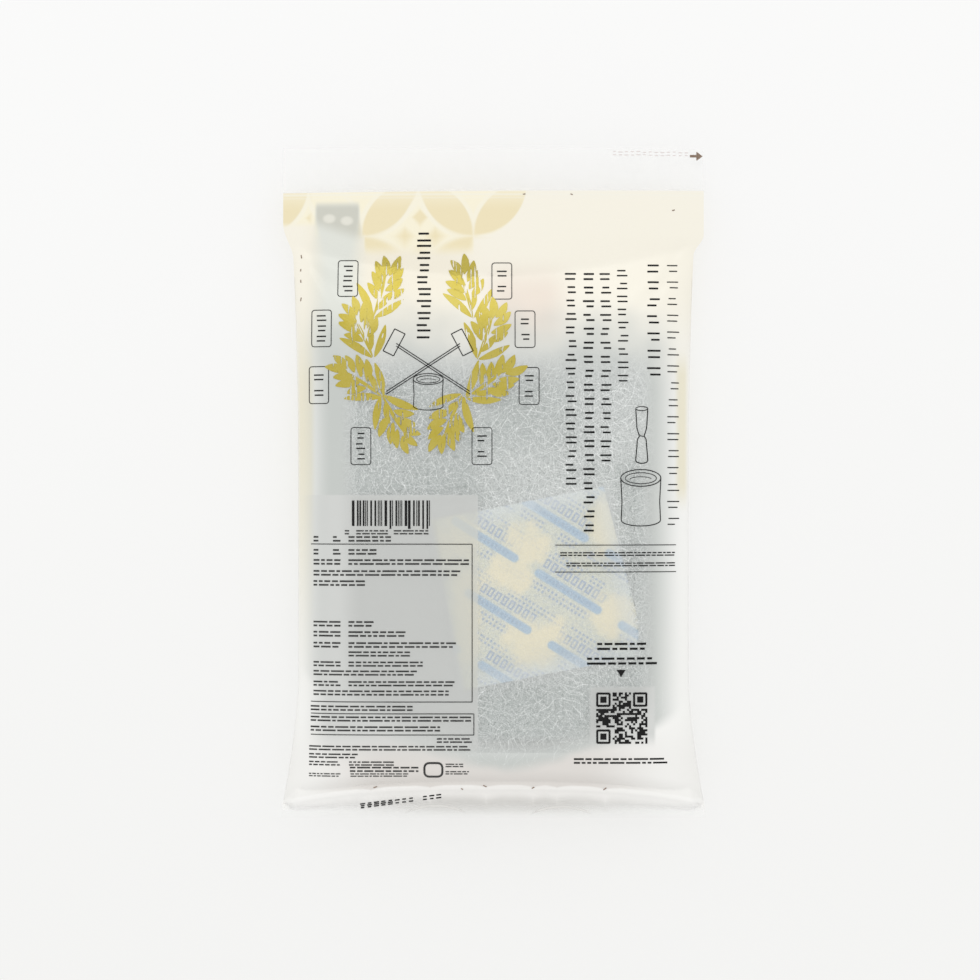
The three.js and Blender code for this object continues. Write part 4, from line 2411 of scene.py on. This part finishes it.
    @staticmethod
    def _mortar(marks: Marks, centre: Place, radii: Place, depth: float, width: float) -> None:
        """Draws a hollowed log on end in outline.

        Args:
            marks: The set that takes it.
            centre: Middle of its upper rim.
            radii: Half-width and half-height of the rim.
            depth: Distance from the rim to the foot.
            width: Width of the line.
        """
        x, y = centre
        marks.arc(centre, radii, width)
        marks.arc((x, y - 0.1), (radii[0] * 0.78, radii[1] * 0.66), width * 0.8)
        marks.arc((x, y - 0.6), (radii[0] * 0.55, radii[1] * 0.35), width * 0.6, (20, 175), 10)
        for side in (-1, 1):
            outline = [
                (x + side * radii[0] * reach, y - depth * share)
                for reach, share in ((1, 0), (0.94, 0.55), (0.98, 1))
            ]
            marks.path(outline, width)
        marks.arc((x, y - depth), (radii[0] * 0.98, radii[1] * 0.7), width, (180, 360), 14)

    @staticmethod
    def _mallet(marks: Marks, cross: Place, side: int) -> None:
        """Draws a long-handled mallet that leans to one side.

        Args:
            marks: The set that takes it.
            cross: Where it crosses the other mallet.
            side: 1 if its head is at the right and -1 if it is at the left.
        """
        x, y = cross
        foot = (x - side * 14.5, y - 8.0)
        head = (x + side * 11.0, y + 8.6)
        for shift in (0, 0.9):
            marks.line((foot[0], foot[1] + shift), (head[0], head[1] + shift), 0.3)
        corners = [
            (head[0] + side * across, head[1] + up)
            for across, up in ((-3.0, 4.2), (0.6, 6.0), (4.6, -1.6), (1.0, -3.4), (-3.0, 4.2))
        ]
        marks.path(corners, 0.32)

    def _header_mark(self, marks: Marks) -> None:
        """Draws a tear arrow at the header's edge, and specks where the film is creased; the first
        five, on the rolled bottom edge, are painted shadow in the folds between its lobes.

        Args:
            marks: The set that takes them.
        """
        shaft, head, level = 68.7, 71.2, 113.8
        marks.line((shaft, level), (head, level), 0.9)
        for step in range(5):
            marks.dash(head + 0.42 * step, level, 0.46, 2.9 - 0.62 * step)
        # The first five specks are painted shadow in the folds between the lobes of the rolled
        # bottom edge.
        for x, y, length, turn in (
            (-41.0, -106.0, 1.3, 20), (-10.9, -106.6, 0.8, -30), (-3.0, -105.6, 1.3, -25),
            (13.7, -106.2, 1.0, 30), (38.6, -106.6, 1.3, 35), (10.7, 100.1, 0.9, 10),
            (27.2, 100.1, 0.8, -20), (62.9, 94.8, 1.0, 15), (-67.2, 78.6, 1.2, 100),
            (-67.4, 73.8, 0.8, 85), (-67.3, 69.9, 1.0, 95), (-67.2, 63.5, 1.3, 80),
        ):
            marks.dash(x, y, length, 0.35, turn)

    def _tear_line(self, marks: Marks) -> None:
        """Draws a faint row of small double dashes that leads to the tear arrow.

        Args:
            marks: The set that takes them.
        """
        x, end, level = 42.2, 67.5, 114.5
        while x < end:
            for side in (-1, 1):
                length = self.draw.uniform(0.9, 1.5)
                marks.dash(x, level + side * self.draw.uniform(0.4, 0.7), length, 0.3)
            x += 2.1

    def _date_mark(self, marks: Marks) -> None:
        """Draws a slanting row of dark dashes on the fin, with a gap before its end.

        Args:
            marks: The set that takes them.
        """
        start, end = (-46.6, -112.6), (-17.8, -109.0)
        run = (end[0] - start[0], end[1] - start[1])
        turn = math.degrees(math.atan2(run[1], run[0]))
        three, two = (-0.62, 0.0, 0.62), (-0.5, 0.5)
        columns = [three] * 5 + [two] * 3 + [()] + [two] * 3
        for number, parts in enumerate(columns):
            share = (number + 0.5) / len(columns)
            x, y = start[0] + run[0] * share, start[1] + run[1] * share
            for part in parts:
                marks.dash(x, y + part, 1.9 * self.draw.uniform(0.6, 1.0), 0.45, turn)

    def _rice_sprigs(self) -> list[Thing]:
        """Eight gold brushed sprigs of rice in a ring that is open at the top.

        Returns:
            The stems and the grains, each as one piece.
        """
        dab = self._dab()
        stems, grains = [], []
        for x, y, turn in (
            (-38.9, 65.6, -17), (-45.2, 51.2, 17), (-45.6, 34.6, 56), (-34.2, 21.8, -152),
            (-14.8, 21.8, 152), (-1.8, 34.0, -54), (-2.2, 50.8, -17), (-9.2, 65.6, 17),
        ):
            self._sprig(dab, (x, y), turn + self.draw.uniform(-6, 6), stems, grains)
        bpy.data.objects.remove(dab)
        pieces = []
        for name, parts, lift in (("rice_stems", stems, 0.05), ("rice_grains", grains, 0.11)):
            piece = join(parts, name)
            lay_on(piece, self.film, lift, 0.04)
            mount(piece, Slot.PRINT, self.gold.material())
            pieces.append(piece)
        return pieces

    def _sprig(
        self, dab: Thing, centre: Place, turn: float, stems: list[Thing], grains: list[Thing]
    ) -> None:
        """One sprig of rice: a stem with three leaves, and eight grains in pairs.

        Args:
            dab: The brush dab to copy.
            centre: Middle of the sprig on the bag.
            turn: Turn of the sprig in degrees.
            stems: Takes the dabs of its stem and leaves.
            grains: Takes the dabs of its grains.
        """
        stems.append(self._place(dab, centre, turn, (0.0, -9.5), 2.0, (0.4, 1.9)))
        for root, lean, scale in (
            ((-0.3, -9.0), 38.0, (0.92, 1.55)),
            ((0.4, -9.2), -40.0, (0.85, 1.4)),
            ((0.2, -6.5), -22.0, (0.7, 0.9)),
        ):
            lean = lean + self.draw.uniform(-6, 6)
            stems.append(self._place(dab, centre, turn, root, lean, scale))
        for across, along, lean in (
            (-0.9, -2.6, 50), (1.0, -1.8, -50), (-0.9, 0.2, 42), (1.0, 1.0, -40),
            (-0.8, 3.0, 34), (0.9, 3.8, -30), (-0.4, 5.8, 20), (0.5, 6.6, -10),
        ):
            size = self.draw.uniform(0.85, 1.05)
            scale = (size, size * self.draw.uniform(0.85, 1.0))
            lean = lean + self.draw.uniform(-5, 5)
            grains.append(self._place(dab, centre, turn, (across, along), lean, scale))

    @staticmethod
    def _place(
        dab: Thing, centre: Place, turn: float, root: Place, lean: float, scale: Place
    ) -> Thing:
        """Sets a copy of the dab in a sprig.

        Args:
            dab: The dab to copy.
            centre: Middle of the sprig on the bag.
            turn: Turn of the sprig in degrees.
            root: Root of the dab in the sprig's own frame.
            lean: Turn of the dab in that frame in degrees.
            scale: Its width and length as shares of the dab's.

        Returns:
            The copy.
        """
        thing = copy_of(dab)
        angle = math.radians(turn)
        x = centre[0] + root[0] * math.cos(angle) - root[1] * math.sin(angle)
        y = centre[1] + root[0] * math.sin(angle) + root[1] * math.cos(angle)
        thing.scale = (*scale, 1)
        thing.rotation_euler = (0, 0, angle + math.radians(lean))
        thing.location = (x * MM, y * MM, ABOVE_BAG * MM)
        settle(thing)
        return thing

    @staticmethod
    def _dab() -> Thing:
        """One brush dab in the shape of a grain, pointing along +Y from its root.

        Returns:
            The dab.
        """
        length, width, bend = 8.6, 3.1, 0.5
        bpy.ops.mesh.primitive_circle_add(vertices=16, radius=0.5, fill_type="NGON")
        thing = rename(bpy.context.active_object, "dab")
        with editing(thing, whole=True):
            bpy.ops.mesh.inset(thickness=0.16, depth=0)
            bpy.ops.mesh.poke()
        points = points_of(thing) * MM
        share = points[:, 1] + 0.5
        taper = 0.55 + 0.9 * share * (1 - share) * 2
        across = points[:, 0] * width * taper + bend * np.sin(share * math.pi)
        move_points(thing, np.column_stack([across, share * length, np.zeros(len(points))]))
        return thing


# --- Studio ---


@dataclass
class Studio:
    """A bright pale table, soft light from all round and a camera straight above."""

    table: float = 3.0
    glow: float = 0.46
    table_white: Colour = (0.48, 0.48, 0.475)
    table_paler: Colour = (0.49, 0.49, 0.485)
    glow_white: Colour = (1.0, 1.0, 1.0)
    glow_near: Colour = (0.935, 0.935, 0.92)
    glow_ramp: Ramp = (190.0, -190.0)
    sky: float = 0.92
    lens: float = 105.0
    sensor: float = 36.0
    clip: Place = (0.05, 20.0)
    camera_place: Size = (-1.225, -2.975, 1011.0)
    key_place: Size = (-0.10, 1.03, 0.96)
    key_size: float = 0.5
    key_power: float = 2.6

    def build(self) -> None:
        """Sets the table, the lights and the camera."""
        self._table()
        self._light()
        self._camera()
        bpy.context.scene.view_settings.view_transform = "Standard"

    def _table(self) -> None:
        """A pale table top that glows a little, so that shadows stay soft, and glows less towards
        the bag's bottom end as painted falloff of the key light.
        """
        bpy.ops.mesh.primitive_plane_add(size=self.table)
        table = rename(bpy.context.active_object, "table")
        shader = Shader("pale_table")
        cloud = shader.grain(300.0, 1.0, 0.5)
        # y drives a painted falloff of the key light: the glow dims towards the bag's bottom end.
        _, y, _ = shader.place()
        table.data.materials.append(
            shader.finish(
                Base_Color=shader.mix(cloud + 0.5, self.table_white, self.table_paler),
                Roughness=0.8,
                Emission_Color=shader.mix(
                    y.rising(*self.glow_ramp), self.glow_white, self.glow_near
                ),
                Emission_Strength=self.glow,
                Specular_IOR_Level=0.0,
            )
        )

    def _light(self) -> None:
        """A white sky and one large soft light beyond the header."""
        world = bpy.data.worlds.new("white_sky")
        bpy.context.scene.world = world
        world.use_nodes = True
        background = world.node_tree.nodes["Background"]
        background.inputs["Color"].default_value = (1.0, 1.0, 1.0, 1.0)
        background.inputs["Strength"].default_value = self.sky
        bpy.ops.object.light_add(type="AREA", location=self.key_place)
        key = bpy.context.active_object
        key.name = "key_light"
        key.data.size = self.key_size
        key.data.energy = self.key_power
        aim = Vector((0, 0, 0)) - Vector(self.key_place)
        key.rotation_euler = aim.to_track_quat("-Z", "Y").to_euler()

    def _camera(self) -> None:
        """A long lens that looks straight down on the bag."""
        bpy.ops.object.camera_add(location=Vector(self.camera_place) * MM, rotation=(0, 0, 0))
        camera = bpy.context.active_object
        camera.data.lens = self.lens
        camera.data.sensor_width = self.sensor
        camera.data.clip_start, camera.data.clip_end = self.clip
        bpy.context.scene.camera = camera


def main() -> None:
    """Builds the studio and every piece of the bag, in order."""
    logging.basicConfig(level=logging.INFO, format="%(message)s")
    low, high = CAD_BOX
    form = BagForm(length=(high.y - low.y) / MM, flat_width=(high.x - low.x) / MM)
    Studio().build()
    film = Film(form).build()
    DryingPacket(form).build()
    Tray().build()
    Crackers().build()
    printed = BackPrint(film).build()
    log.info("print: %d pieces", len(printed))


if __name__ == "__main__":
    main()
